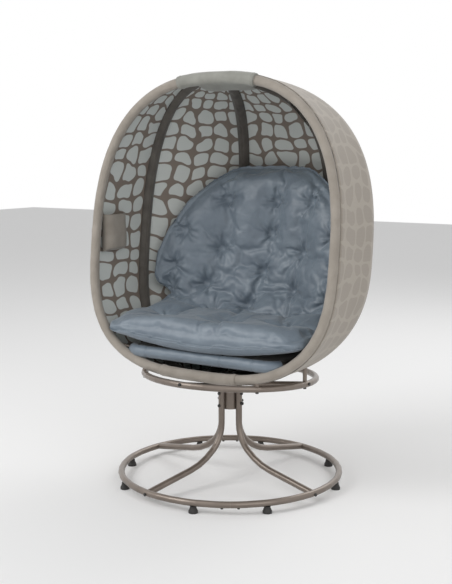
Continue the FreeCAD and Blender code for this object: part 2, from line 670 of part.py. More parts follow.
def support_ring_part(radius):
    """The support ring as a round bar of that radius, in the chair's frame."""
    spots = [lower_point(member, over_ring)[1] for member, tube, grown in members.values()]
    angles = [math.degrees(math.atan2(spot.x, -spot.y / math.cos(ring_tilt))) for spot in spots]
    angles = [angle for angle in angles if abs(angle - 90) > 6]
    bars = []
    for first in (-45, 135):
        here = [angle for angle in [0, 90, 180, 270] + angles + [360 - angle for angle in angles]
                if 0 < (angle - first) % 360 < 180]
        here = [first + (angle - first) % 360 for angle in here]
        bars.append(loft_round(ring_stations(size("support_ring_radius"), first, first + 180, here),
                               UP, radius))
    bar = bars[0].fuse(bars[1])
    bar.Placement = ring_place
    return bar


ring_drills = []
arm_plugs = []
arm_bolts = []
for name, degrees in ARM_ANGLES.items():
    start, corner, finish = arm_line(degrees)
    edges = rounded_path((start, corner, finish), (size("arm_bend_radius"),))
    way = Vector(finish - corner).normalize()
    shape = loft_tube(stations_of(edges), SIDE, arm_radius, arm_bore)
    turn = about_axis(degrees)
    shape.Placement = turn
    head_cope = Part.makeCylinder(size("head_diameter") / 2 + size("seat_gap"), 4 * size("head_height"),
                                  Vector(0, 0, arm_height - 2 * size("head_height")))
    ring_way = ring_place.Rotation.multVec(turn.Rotation.multVec(SIDE))
    meeting = ring_point(degrees, size("support_ring_radius"))
    ring_cope = Part.makeCylinder(tube_radius + size("seat_gap"), 6 * tube_radius,
                                  meeting - ring_way * (3 * tube_radius), ring_way)
    shape = largest(shape.cut(ring_cope).cut(head_cope))
    keep(raw(name, shape), name)
    drill = Part.makeCylinder(size("bolt_diameter") / 2 + size("seat_gap"), 6 * tube_radius,
                              finish - way * (3 * tube_radius), way)
    drill.Placement = turn
    ring_drills.append(drill)
    bore = cylinder(f"arm_plug_bore_{degrees}", f"{bolt_radius} + {cell('seat_gap')}",
                    f"{cell('plug_length')} + 2")
    bore.setExpression("Placement.Base.z", "-1")
    block = cylinder(f"arm_plug_block_{degrees}",
                     f"{cell('arm_diameter')} / 2 - {cell('tube_wall')} - {cell('seat_gap')}",
                     cell("plug_length"))
    plug = combine("Part::Cut", f"arm_plug_{degrees}", block, bore)
    plug.Placement = turn.multiply(pointing(way * -1, finish - way * plug_face))
    arm_plugs.append(plug)
    head_seat = finish + way * (tube_radius + size("seat_gap"))
    arm_bolts.append(bolt(f"arm_bolt_{degrees}", bolt_head, bolt_head_high, bolt_radius,
                          f"{cell('tube_diameter')} + {cell('plug_length')}",
                          turn.multiply(pointing(way, head_seat))))
group("arm_plugs", arm_plugs)
group("arm_bolts", arm_bolts)

# Curves of the pod: each member is a squared-off ellipse in its own upright plane
pod = Placement(Vector(0, size("pod_set_back"), size("pod_height")),
                Rotation(SIDE, -size("pod_recline")))
to_pod = pod.inverse()
rib_radius = size("rib_diameter") / 2

# Turns from the crown to the widest level, in degrees, where fabric and tubes have their sections
UPPER_TURNS = (11, 21, 31, 40, 48, 56, 65, 77, 90)


class Member:
    """One bent tube of the pod, from the crown over the widest level to the keel."""

    def __init__(self, out, back, rise, drop, exponents, set_back, radius, start):
        self.span = math.hypot(out, back)
        self.plan = Vector(out / self.span, back / self.span, 0)
        self.heights = (rise, -drop)
        self.exponents = exponents
        self.set_back = set_back
        self.radius = radius
        self.start = start

    def half(self, turn):
        lower = turn > math.pi / 2
        return self.exponents[lower], self.heights[lower]

    def point(self, turn):
        """Centre line at a turn from the crown (0) to the keel (pi)."""
        exponent, height = self.half(turn)
        reach = self.span * math.sin(turn) ** (2 / exponent)
        level = height * abs(math.cos(turn)) ** (2 / exponent)
        return self.plan * reach + Vector(0, self.set_back, level)

    def tangent(self, turn):
        """Unit vector along the line, away from the crown."""
        exponent, height = self.half(turn)
        sine = max(math.sin(turn), 1e-9)
        cosine = max(abs(math.cos(turn)), 1e-9)
        along = self.span * sine ** (2 / exponent - 1) * cosine * math.copysign(1, height)
        down = -abs(height) * cosine ** (2 / exponent - 1) * sine
        return (self.plan * along + Vector(0, 0, down)).normalize()

    def normal(self, way):
        """Unit vector in the member's plane, out of the pod, where the line runs along way."""
        return self.plan * (-way.z) + Vector(0, 0, way.dot(self.plan))

    def across(self):
        """The axis that the member bends about."""
        return Vector(-self.plan.y, self.plan.x, 0)

    def turn_at(self, reach, upper=True):
        """The turn at which the line is this far from the pole."""
        exponent = self.exponents[0 if upper else 1]
        angle = math.asin(min(1.0, (reach / self.span) ** (exponent / 2)))
        return angle if upper else math.pi - angle

    def stations(self, start=None):
        """Points and tangents from crown to keel, straight where the tube is drilled."""
        start = start or self.start
        hoop_turn, ring_turn = (lower_point(self, test)[0] for test in (over_hoop, over_ring))
        ends = []
        for upper in (True, False):
            near, far = (self.point(self.turn_at(reach, upper)) for reach in (start, size("skin_start")))
            way = Vector(far - near).normalize()
            ends.append([(near, way), (far, way)] if upper else [(far, way * -1), (near, way * -1)])
        last = self.turn_at(size("skin_start"), False)
        middle = [math.radians(degrees) for degrees in UPPER_TURNS]
        middle = [(self.point(turn), self.tangent(turn)) for turn in middle]
        for low, high, count in ((math.pi / 2, hoop_turn, 4), (hoop_turn, ring_turn, 1), (ring_turn, last, 3)):
            for i in range(count):
                turn = low + (high - low) * (i + 1) / (count + 1)
                middle.append((self.point(turn), self.tangent(turn)))
            if high != last:
                tangent = self.tangent(high)
                reach = tangent * (size("flat_length") * 0.28)
                middle += [(self.point(high) - reach, tangent), (self.point(high) + reach, tangent)]
        return ends[0] + middle + ends[1]

    def bar(self, radius, start=None):
        """The member as a round bar of that radius."""
        return loft_round(self.stations(start), self.across(), radius)


def to_side(vector, side):
    return Vector(side * vector.x, vector.y, vector.z)


def mirrored(shape):
    return shape.mirror(Vector(0, 0, 0), SIDE)


def flat_turn(shape, side):
    return shape if side > 0 else mirrored(shape)


def placed(shape, placement):
    copy = shape.copy()
    copy.Placement = placement.multiply(copy.Placement)
    return copy


def clear_of(shape, tools):
    """Cuts the tools that reach a shape away and keeps its main solid."""
    for tool in tools:
        if tool.BoundBox.intersect(shape.BoundBox):
            shape = shape.cut(tool)
    return largest(shape)


def lower_point(member, reached):
    """The lowest turn of a member where a test of its point in the chair's frame holds, and that point."""
    low, high = math.pi / 2, math.pi - 0.01
    for _ in range(50):
        middle = (low + high) / 2
        if reached(pod.multVec(member.point(middle))):
            low = middle
        else:
            high = middle
    return low, pod.multVec(member.point(low))


def over_ring(spot):
    return math.hypot(spot.x, spot.y) > size("support_ring_radius")


def over_hoop(spot):
    return spot.z > size("hoop_height") + size("seat_spacer_rise")


rim = Member(size("rim_half_width"), 0, size("rim_rise"), size("rim_drop"), RIM_EXPONENTS, 0,
             tube_radius, size("rim_butt_gap"))
side_rib = Member(size("side_rib_out"), size("side_rib_back"), size("rib_rise"), size("rib_drop"),
                  SIDE_RIB_EXPONENTS, size("rib_pole_set_back"), rib_radius, size("rib_start"))
back_rib = Member(size("back_rib_out"), size("back_rib_back"), size("rib_rise"), size("rib_drop"),
                  BACK_RIB_EXPONENTS, size("rib_pole_set_back"), rib_radius, size("rib_start"))
rim_tube = rim.bar(tube_radius).cut(rim.bar(tube_bore))
rib_bore = rib_radius - size("rib_wall")
members = {
    "rim": (rim, rim_tube, rim.bar(tube_radius + size("seat_gap"))),
    "side": (side_rib, side_rib.bar(rib_radius).cut(side_rib.bar(rib_bore)),
             side_rib.bar(rib_radius + size("seat_gap"))),
    "back": (back_rib, back_rib.bar(rib_radius).cut(back_rib.bar(rib_bore)),
             back_rib.bar(rib_radius + size("seat_gap"))),
}
SIDES = {"left": -1, "right": 1}


# Spacers between the support ring and the pod, where rim and ribs pass over the ring
standoff_radius = size("standoff_diameter") / 2
bolt_hole = size("bolt_diameter") / 2 + size("seat_gap")
ring_grown = support_ring_part(tube_radius + size("seat_gap"))
spacers = []
spacer_bolts = []
member_drills = []
spacer_ways = []
for member, tube, grown in members.values():
    top = lower_point(member, over_ring)[1]
    foot = Vector(top.x, top.y, size("support_ring_height") - math.tan(ring_tilt) * top.y)
    tall = top.z - foot.z
    column = Part.makeCylinder(standoff_radius, tall, foot)
    column = column.cut(placed(grown, pod)).cut(ring_grown).cut(Part.makeCylinder(bolt_hole, tall, foot))
    head_seat = foot - UP * (tube_radius + 2 * size("seat_gap"))
    head = Part.makeCylinder(size("bolt_head_diameter") / 2, size("bolt_head_height"),
                             head_seat - UP * size("bolt_head_height"))
    rod = Part.makeCylinder(size("bolt_diameter") / 2, top.z - head_seat.z, head_seat)
    drill = Part.makeCylinder(bolt_hole, tall + 2 * tube_radius, foot - UP * (1.6 * tube_radius))
    way = Part.makeCylinder(standoff_radius + 1, tall + 2 * tube_radius, foot - UP * tube_radius)
    for side in SIDES.values():
        spacers.append(flat_turn(largest(column), side))
        spacer_bolts.append(flat_turn(head.fuse(rod).removeSplitter(), side))
        ring_drills.append(flat_turn(drill, side))
        member_drills.append(placed(flat_turn(drill, side), to_pod))
        spacer_ways.append(placed(flat_turn(way, side), to_pod))
ring_bar = support_ring_part(tube_radius).cut(support_ring_part(tube_bore))
for drill in ring_drills:
    ring_bar = ring_bar.cut(drill)
keep(raw("support_ring", largest(ring_bar)), "support_ring")
keep(raw("pod_spacers", Part.Compound(spacers)), "pod_spacers")
keep(raw("spacer_bolts", Part.Compound(spacer_bolts)), "spacer_bolts")

# Seat hoop, its spacers to rim and ribs, and their bolts
hoop_level = size("hoop_height")
hoop_corners = [
    Vector(0, size("hoop_front_y"), hoop_level),
    Vector(size("hoop_front_half"), size("hoop_front_y"), hoop_level),
    Vector(size("hoop_middle_half"), size("hoop_middle_y"), hoop_level),
    Vector(size("hoop_back_half"), size("hoop_back_y"), hoop_level),
    Vector(0, size("hoop_back_y"), hoop_level),
]
hoop_radii = (size("hoop_corner_radius"), size("hoop_side_radius"), size("hoop_corner_radius"))
hoop_edges = rounded_path(hoop_corners, hoop_radii)
hoop_stations = stations_of(hoop_edges)
hoop_grown = loft_round(hoop_stations, UP, tube_radius + size("seat_gap"))
hoop_half = loft_round(hoop_stations, UP, tube_radius)
hoop_bore = loft_round(hoop_stations, UP, tube_bore)
hoop = hoop_half.fuse(mirrored(hoop_half)).cut(hoop_bore.fuse(mirrored(hoop_bore)))
seat_spacers = []
seat_bolts = []
for member, tube, grown in members.values():
    target = lower_point(member, over_hoop)[1]
    nearest = min((edge.distToShape(Part.Vertex(target)) for edge in hoop_edges), key=lambda hit: hit[0])
    anchor = nearest[1][0][0]
    way = Vector(target - anchor).normalize()
    reach = (target - anchor).Length
    column = Part.makeCylinder(standoff_radius - 1, reach, anchor, way)
    column = column.cut(hoop_grown).cut(placed(grown, pod)).cut(Part.makeCylinder(bolt_hole, reach, anchor, way))
    head_seat = anchor - way * (tube_radius + 3 * size("seat_gap"))
    head = Part.makeCylinder(size("bolt_head_diameter") / 2, size("bolt_head_height"),
                             head_seat - way * size("bolt_head_height"), way)
    rod = Part.makeCylinder(size("bolt_diameter") / 2, (target - head_seat).Length, head_seat, way)
    drill = Part.makeCylinder(bolt_hole, reach + 2 * tube_radius, anchor - way * (1.6 * tube_radius), way)
    for side in SIDES.values():
        seat_spacers.append(flat_turn(largest(column), side))
        seat_bolts.append(flat_turn(head.fuse(rod).removeSplitter(), side))
        hoop = hoop.cut(flat_turn(drill, side))
        member_drills.append(placed(flat_turn(drill, side), to_pod))
        spacer_ways.append(placed(flat_turn(Part.makeCylinder(
            standoff_radius, reach + tube_radius, anchor, way), side), to_pod))
keep(raw("seat_hoop", largest(hoop)), "seat_hoop")
keep(raw("seat_spacers", Part.Compound(seat_spacers)), "seat_spacers")
keep(raw("seat_bolts", Part.Compound(seat_bolts)), "seat_bolts")

# Brackets at crown and keel: a socket over the rim's joint and a plate that the rib ends lie on
pivot_bolts = []
brackets = {}
for upper in (True, False):
    sign = 1 if upper else -1
    rim_level = rim.heights[0 if upper else 1]
    rib_level = side_rib.heights[0 if upper else 1]
    inner = tube_radius + size("socket_clearance")
    half_socket = size("socket_length") / 2
    socket = Part.makeCylinder(inner + size("socket_wall"), 2 * half_socket,
                               Vector(-half_socket, 0, rim_level), SIDE)
    near = rib_level - sign * (rib_radius + size("seat_gap"))
    low = min(near, near - sign * size("hub_plate_height"))
    plate = Part.makeCylinder(size("hub_plate_radius"), size("hub_plate_height"),
                              Vector(0, size("rib_pole_set_back"), low))
    front = Part.makeBox(4 * size("hub_plate_radius"), 4 * size("hub_plate_radius"), 60,
                         Vector(-2 * size("hub_plate_radius"), 6 - 4 * size("hub_plate_radius"), low - 30))
    bracket = socket.fuse(plate.cut(front)).removeSplitter()
    bracket = bracket.cut(Part.makeCylinder(inner, 4 * half_socket,
                                            Vector(-2 * half_socket, 0, rim_level), SIDE))
    tools = [flat_turn(grown, side) for member, tube, grown in members.values() for side in SIDES.values()]
    for member in (side_rib, back_rib):
        spot = member.point(member.turn_at(size("rib_start") + 8, upper))
        head_seat = Vector(spot.x, spot.y, spot.z + sign * (rib_radius + size("seat_gap")))
        away = UP * sign
        nut_seat = Vector(spot.x, spot.y, near - sign * (size("hub_plate_height") + size("seat_gap")))
        nut = Part.makeCylinder(size("bolt_head_diameter") / 2, 4.5, nut_seat - away * 4.5, away)
        head = Part.makeCylinder(size("bolt_head_diameter") / 2, size("bolt_head_height"), head_seat, away)
        rod = Part.makeCylinder(size("bolt_diameter") / 2, (head_seat - nut_seat).Length, nut_seat, away)
        drill = Part.makeCylinder(bolt_hole, 6 * rib_radius, head_seat - away * (5 * rib_radius), away)
        for side in SIDES.values():
            pivot_bolts.append(flat_turn(head.fuse([rod, nut]).removeSplitter(), side))
            tools.append(flat_turn(drill, side))
            member_drills.append(flat_turn(drill, side))
    brackets[upper] = (clear_of(bracket, tools), low)
keep(raw("crown_bracket", brackets[True][0], pod), "crown_bracket")
keep(raw("keel_bracket", brackets[False][0], pod), "keel_bracket")
keep(raw("rib_pivot_bolts", Part.Compound(pivot_bolts), pod), "rib_pivot_bolts")

# Rim halves and ribs, drilled for their bolts
for kind, label in (("rim", "rim_{}"), ("side", "rib_{}_side"), ("back", "rib_{}_back")):
    for name, side in SIDES.items():
        piece = clear_of(flat_turn(members[kind][1], side), member_drills)
        keep(raw(label.format(name), piece, pod), label.format(name))

# Padded sleeves round the rim halves, cut back from brackets and spacers
sleeve_inner = tube_radius + size("sleeve_clearance")
sleeve_outer = tube_radius + size("sleeve_wall")
sleeve = rim.bar(sleeve_outer).cut(rim.bar(sleeve_inner))
sleeve_end = size("hub_plate_radius") + 4
middle_block = Part.makeBox(2 * sleeve_end, 200, 2000, Vector(-sleeve_end, -100, -1000))
hoop_ways = [placed(flat_turn(hoop_grown, side), to_pod) for side in SIDES.values()]
rim_sleeves = [clear_of(flat_turn(sleeve, side), [middle_block] + spacer_ways + hoop_ways)
               for side in SIDES.values()]
keep(raw("rim_sleeves", Part.Compound(rim_sleeves), pod), "rim_sleeves")


# Wraps over the brackets at crown and keel
def wrap_bar(upper, radius):
    """A round bar along the rim, across the crown or the keel."""
    bar = rim.bar(radius, 0.01)
    long = 2 * size("wrap_half_length")
    room = Part.makeBox(long, 200, 300, Vector(-long / 2, -100, 350 if upper else -500))
    return bar.fuse(mirrored(bar)).common(room)


wrap_inner = sleeve_outer + size("sleeve_clearance")
crown_outer = wrap_inner + size("crown_wrap_wall")
keel_outer = wrap_inner + size("keel_wrap_wall")
wide = size("hub_plate_radius") + 6


def plate_slot(low):
    """Room for a bracket's plate where it leaves the wrap."""
    return Part.makeBox(2 * wide, 2 * wide, size("hub_plate_height") + 1.2, Vector(-wide, 0, low - 0.6))


flap_top = size("rim_rise") - 0.5 * crown_outer
flap = Part.makeBox(size("flap_width"), size("flap_depth"), 2.0,
                    Vector(-size("flap_width") / 2, 0.75 * crown_outer, flap_top - 2.0))
flap.rotate(Vector(0, 0.75 * crown_outer, flap_top), SIDE, -8)
crown_wrap = wrap_bar(True, crown_outer).fuse(flap).removeSplitter().cut(wrap_bar(True, wrap_inner))
keep(raw("crown_wrap", clear_of(crown_wrap, [plate_slot(brackets[True][1])]), pod), "crown_wrap")
keel_wrap = wrap_bar(False, keel_outer).cut(wrap_bar(False, wrap_inner))
keep(raw("keel_wrap", clear_of(keel_wrap, [plate_slot(brackets[False][1])]), pod), "keel_wrap")
wrap_ways = [wrap_bar(True, crown_outer + size("sleeve_clearance")),
             wrap_bar(False, keel_outer + size("sleeve_clearance"))]


# Mesh panels between rim and ribs: each touches both members as a taut cloth does
class Edge:
    """One member, on one side, as the edge of a panel."""

    def __init__(self, member, side, hold, overlap):
        self.member = member
        self.side = side
        self.hold = hold
        self.overlap = overlap
        self.stations = member.stations()[1:-1]

    def place(self, index):
        """Centre point, tangent and outward way at a section."""
        point, tangent = self.stations[index]
        return tuple(to_side(item, self.side) for item in (point, tangent, self.member.normal(tangent)))

    def touch(self, index, along):
        """Where a cloth running off in a direction leaves the member, and its way out there."""
        centre, tangent, normal = self.place(index)
        out = tangent.cross(along).normalize()
        if out.dot(normal) < 0:
            out = out * -1
        lean = min(1.0, out.dot(normal))
        extra = self.hold * math.sqrt(1 - lean * lean) / lean - 0.25 if self.overlap else 0.0
        return centre + out * self.hold - along * extra, out


def panel(first, second):
    """Thin panel lofted through one flat closed section at each turn from the crown."""
    wires = []
    for index in range(len(first.stations)):
        across = Vector(second.place(index)[0] - first.place(index)[0]).normalize()
        start, start_out = first.touch(index, across)
        end, end_out = second.touch(index, across * -1)
        line = Vector(end - start).normalize()
        out = start_out + end_out
        out = (out - line * out.dot(line)).normalize() * size("skin_thickness")
        wires.append(Part.makePolygon([start, start + out, end + out, end, start]))
    return Part.makeLoft(wires, True, True)


rib_hold = rib_radius + 2 * size("sleeve_clearance")
rim_hold = sleeve_outer + 2 * size("sleeve_clearance")
rim_edges = {side: Edge(rim, side, rim_hold, False) for side in SIDES.values()}
side_edges = {side: Edge(side_rib, side, rib_hold, True) for side in SIDES.values()}
back_edges = {side: Edge(back_rib, side, rib_hold, True) for side in SIDES.values()}
panels = {
    "panel_left_front": (rim_edges[-1], side_edges[-1]),
    "panel_left_back": (side_edges[-1], back_edges[-1]),
    "panel_back": (back_edges[-1], back_edges[1]),
    "panel_right_back": (back_edges[1], side_edges[1]),
    "panel_right_front": (side_edges[1], rim_edges[1]),
}
skins = {}
for label, (first, second) in panels.items():
    skins[label] = clear_of(panel(first, second), spacer_ways + wrap_ways)
    keep(raw(label, skins[label], pod), label)


# Fabric channels sewn under the panels, each round the inner side of its rib
def rib_channel(member, neighbours):
    wide = size("rib_sleeve_width") / 2
    wires = []
    for index, (centre, tangent) in enumerate(member.stations()[1:-1]):
        normal = member.normal(tangent)
        tips = []
        for neighbour in neighbours:
            away = neighbour.place(index)[0] - centre
            away = (away - tangent * away.dot(tangent)).normalize()
            out = (normal - away * normal.dot(away)).normalize()
            reach = min(wide, 0.42 * (neighbour.place(index)[0] - centre).Length)
            tips.append((centre + away * reach + out * (rib_hold - 1.9),
                         centre + away * reach + out * (rib_hold - 1.0)))
        low = [centre - normal * depth for depth in (rib_hold + 0.2, rib_hold + size("rib_sleeve_depth"))]
        edges = [Part.LineSegment(tips[0][0], tips[0][1]).toShape()]
        edges += bulged(tips[0][1], low[1], centre, 0.24)
        edges += bulged(low[1], tips[1][1], centre, 0.24)
        edges.append(Part.LineSegment(tips[1][1], tips[1][0]).toShape())
        edges += bulged(tips[1][0], low[0], centre, 0.2)
        edges += bulged(low[0], tips[0][0], centre, 0.2)
        wires.append(Part.Wire(edges))
    return Part.makeLoft(wires, True, True)


def bulged(start, end, centre, share):
    """An arc from start to end that bows away from a centre."""
    chord = end - start
    middle = (start + end) * 0.5
    away = middle - centre
    away = (away - chord * (away.dot(chord) / chord.dot(chord))).normalize()
    return [Part.Arc(start, middle + away * (share * chord.Length), end).toShape()]


hoop_room = size("hoop_middle_half") + tube_radius + 2 * size("sleeve_clearance")
hoop_slice = Part.makeBox(2 * hoop_room, 300, 2 * tube_radius + 1,
                          Vector(-hoop_room, -150, hoop_level - tube_radius - 0.5))
hoop_slice.Placement = to_pod
channels = []
for member, neighbours in ((side_rib, (rim_edges[1], back_edges[1])),
                           (back_rib, (side_edges[1], back_edges[-1]))):
    channel = rib_channel(member, neighbours)
    channels += [clear_of(flat_turn(channel, side), spacer_ways + wrap_ways + [hoop_slice])
                 for side in SIDES.values()]
keep(raw("rib_sleeves", Part.Compound(channels), pod), "rib_sleeves")

# Fabric deck over the hoop and the padded band round its front bar
deck_level = hoop_level + tube_radius + size("sleeve_clearance")
band_outer = tube_radius + size("band_wall")
front_line = size("hoop_front_y") + band_outer + 1
deck_corners = [Vector(size("hoop_front_half") - 2, front_line, deck_level)]
deck_corners += [Vector(corner.x, corner.y, deck_level) for corner in hoop_corners[2:4]]
outline = deck_corners + [to_side(corner, -1) for corner in reversed(deck_corners)]
deck = Part.Face(Part.makePolygon(outline + [outline[0]])).extrude(UP * size("sling_thickness"))
keep(raw("seat_deck", deck), "seat_deck")
band_half = size("hoop_front_half") - size("hoop_corner_radius")
band_start = Vector(-band_half, size("hoop_front_y"), hoop_level)
band = Part.makeCylinder(band_outer, 2 * band_half, band_start, SIDE)
band = band.cut(Part.makeCylinder(tube_radius + size("sleeve_clearance"), 2 * band_half, band_start, SIDE))
sleeve_grown = placed(rim.bar(sleeve_outer + size("sleeve_clearance")), pod)
band = clear_of(band, [sleeve_grown, mirrored(sleeve_grown)])
keep(raw("seat_band", band), "seat_band")

# Cup pocket sewn to the left wall, open at the top
wall = size("pocket_wall")
deep, long, tall = size("pocket_depth"), size("pocket_width"), size("pocket_height")


def pocket_box(inset):
    """A box with its inner upright edges rounded, less an inset on all sides but the top."""
    box = Part.makeBox(deep - 2 * inset, long - 2 * inset, tall - inset + (2 if inset else 0),
                       Vector(inset, inset, inset))
    upright = [edge for edge in box.Edges if abs(edge.CenterOfMass.x - deep + inset) < 0.01
               and abs(edge.tangentAt(edge.FirstParameter).z) > 0.9]
    return box.makeFillet(0.45 * deep - inset, upright)


pocket = pocket_box(0).cut(pocket_box(wall))
rim_side = to_side(rim.point(math.pi / 2), -1)
rib_side = to_side(side_rib.point(math.pi / 2), -1)
lean = math.degrees(math.atan2(rib_side.x - rim_side.x + rim_hold - rib_hold, rib_side.y - rim_side.y))
pocket.Placement = Placement(Vector(rim_side.x - rim_hold + 12, size("pocket_front_y"), size("pocket_bottom")),
                             Rotation(UP, -lean))
room = placed(skins["panel_left_front"], pod).distToShape(pocket)[0] - size("sleeve_clearance")
pocket.translate(Rotation(UP, -lean).multVec(Vector(-room, 0, 0)))
keep(raw("cup_pocket", pocket), "cup_pocket")

# One-piece cushion over seat and back: crescent sections along the line from seat to crown.
# Each station: y and z of the underside, lean of the section, half width, side wrap, thickness, flare.
CUSHION_STATIONS = (
    (-236, 517, 0, 300, 24, 24, 8),
    (-222, 490, 0, 348, 34, 78, 14),
    (-190, 478, 0, 362, 44, 94, 18),
    (-100, 477, 0, 368, 54, 90, 18),
    (0, 477, 0, 356, 58, 88, 18),
    (90, 479, 5, 338, 74, 88, 14),
    (162, 490, 18, 326, 96, 90, 8),
    (222, 522, 42, 336, 120, 92, 2),
    (268, 580, 66, 366, 150, 92, 0),
    (298, 660, 78, 384, 172, 92, 0),
    (318, 760, 84, 384, 172, 90, -2),
    (330, 870, 88, 358, 150, 88, -4),
    (335, 970, 89, 306, 112, 84, -6),
    (335, 1045, 90, 236, 66, 74, -8),
    (332, 1088, 91, 172, 36, 52, -8),
    (330, 1104, 92, 130, 22, 28, -6),
)


def cushion_point(station, side, height):
    """A point of a section: side along X, height along the section's own up direction."""
    y, z, lean = station[:3]
    angle = math.radians(lean)
    return Vector(side, y - height * math.sin(angle), z + height * math.cos(angle))


def cushion_section(station):
    half, wrap, thick, flare = station[3:]
    top = 0.62 * thick
    ends = [(-half, wrap), (half, wrap), (half + flare, wrap + top), (-half - flare, wrap + top)]
    low_left, low_right, top_right, top_left = [cushion_point(station, *end) for end in ends]
    bulge = half + 0.5 * flare + 0.22 * thick
    return Part.Wire([
        Part.Arc(low_left, cushion_point(station, 0, 0), low_right).toShape(),
        Part.Arc(low_right, cushion_point(station, bulge, wrap + 0.5 * top), top_right).toShape(),
        Part.Arc(top_right, cushion_point(station, 0, thick), top_left).toShape(),
        Part.Arc(top_left, cushion_point(station, -bulge, wrap + 0.5 * top), low_left).toShape(),
    ])


cushion = Part.makeLoft([cushion_section(station) for station in CUSHION_STATIONS], True, True)

# Tufts in staggered rows: how far along the stations each row lies, and its places across
TUFT_ROWS = (
    (3.4, (-228, 30, 260)), (5.6, (-150, 150)), (7.3, (-330, -32, 310)), (8.6, (-208, 140)),
    (9.4, (-330, 0, 330)), (10.2, (-169, 165)), (10.8, (-301, 22, 310)), (12.0, (-155, 39, 194)),
)
for along, places in TUFT_ROWS:
    index = int(along)
    share = along - index
    pair = zip(CUSHION_STATIONS[index], CUSHION_STATIONS[index + 1])
    station = tuple(a + (b - a) * share for a, b in pair)
    half, wrap, thick, flare = station[3:]
    rise = wrap + 0.62 * thick - thick
    for side in places:
        height = thick + rise * (side / (half + flare)) ** 2
        centre = cushion_point(station, side, height + size("tuft_radius") - size("tuft_depth"))
        outwards = centre - cushion_point(station, side, height)
        ball = Part.makeSphere(size("tuft_radius"))
        ball.Placement = pointing(outwards, centre)
        cushion = cushion.cut(ball)

# The cushion rests on deck and band
below_deck = Part.makeBox(900, 900, 200, Vector(-450, front_line - 1,
                                                deck_level + size("sling_thickness") + 0.3 - 200))
band_rest = Part.makeCylinder(band_outer + size("sleeve_clearance"), 4 * band_half,
                              Vector(-2 * band_half, size("hoop_front_y"), hoop_level), SIDE)
keep(raw("cushion", clear_of(cushion, [below_deck, band_rest])), "cushion")

# Checks and files
doc.recompute()
for item in doc.Objects:
    bad = [state for state in item.State if state in ("Invalid", "Error")]
    if bad:
        raise RuntimeError(f"{item.Label} is {bad}")
os.makedirs("parts", exist_ok=True)
faulty = [item.Label for item in nodes if item.Shape.isNull() or not item.Shape.isValid()]
if faulty:
    raise RuntimeError(f"no valid shape: {faulty}")
for item in nodes:
    item.Shape.exportStep(f"parts/{item.Label}.step")
    box = item.Shape.BoundBox
    print(item.Label, len(item.Shape.Solids), round(item.Shape.Volume),
          [round(v, 1) for v in (box.XMin, box.YMin, box.ZMin, box.XMax, box.YMax, box.ZMax)])
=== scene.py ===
import math

import bmesh
import bpy
from mathutils import Matrix, Vector, noise


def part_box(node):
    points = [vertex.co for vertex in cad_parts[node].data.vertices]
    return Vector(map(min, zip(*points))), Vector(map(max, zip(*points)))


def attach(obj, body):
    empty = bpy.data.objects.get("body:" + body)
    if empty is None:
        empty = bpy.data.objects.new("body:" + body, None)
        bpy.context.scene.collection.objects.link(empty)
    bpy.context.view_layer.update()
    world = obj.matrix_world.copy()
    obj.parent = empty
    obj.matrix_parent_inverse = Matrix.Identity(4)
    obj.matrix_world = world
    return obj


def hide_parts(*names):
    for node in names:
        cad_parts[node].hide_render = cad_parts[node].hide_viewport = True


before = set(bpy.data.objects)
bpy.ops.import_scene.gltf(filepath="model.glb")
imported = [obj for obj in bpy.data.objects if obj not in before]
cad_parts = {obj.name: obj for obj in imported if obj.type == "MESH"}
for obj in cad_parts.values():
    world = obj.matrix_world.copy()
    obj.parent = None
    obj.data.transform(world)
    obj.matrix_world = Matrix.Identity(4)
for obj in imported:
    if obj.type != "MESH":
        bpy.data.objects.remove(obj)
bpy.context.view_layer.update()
scene = bpy.context.scene
scene.view_settings.view_transform = "Standard"


# Painted tubes of the stand, the carrying ring, the rim, the ribs and the seat hoop.
# Round steel, bent and bolted, with a satin powder coat in a warm taupe bronze.
def new_material(name, colour, roughness, metallic=0.0):
    material = bpy.data.materials.new(name)
    material.use_nodes = True
    shader = material.node_tree.nodes["Principled BSDF"]
    shader.inputs["Base Color"].default_value = (*colour, 1)
    shader.inputs["Roughness"].default_value = roughness
    shader.inputs["Metallic"].default_value = metallic
    return material, material.node_tree.nodes, material.node_tree.links, shader


def mottle(nodes, links, shader, dark, light, scale):
    """Soft colour variation over the piece."""
    where = nodes.new("ShaderNodeTexCoord")
    cloud = nodes.new("ShaderNodeTexNoise")
    cloud.inputs["Scale"].default_value = scale
    cloud.inputs["Detail"].default_value = 4.0
    ramp = nodes.new("ShaderNodeValToRGB")
    ramp.color_ramp.elements[0].position = 0.3
    ramp.color_ramp.elements[0].color = (*dark, 1)
    ramp.color_ramp.elements[1].position = 0.7
    ramp.color_ramp.elements[1].color = (*light, 1)
    links.new(where.outputs["Object"], cloud.inputs["Vector"])
    links.new(cloud.outputs["Fac"], ramp.inputs["Fac"])
    links.new(ramp.outputs["Color"], shader.inputs["Base Color"])
    return where


def grain(nodes, links, shader, where, scale, strength, distance):
    """Fine relief from noise."""
    fine = nodes.new("ShaderNodeTexNoise")
    fine.inputs["Scale"].default_value = scale
    fine.inputs["Detail"].default_value = 3.0
    bump = nodes.new("ShaderNodeBump")
    bump.inputs["Strength"].default_value = strength
    bump.inputs["Distance"].default_value = distance
    links.new(where.outputs["Object"], fine.inputs["Vector"])
    links.new(fine.outputs["Fac"], bump.inputs["Height"])
    links.new(bump.outputs["Normal"], shader.inputs["Normal"])


def finish_nodes(material, names):
    for name in names:
        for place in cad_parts[name].material_slots:
            place.material = material


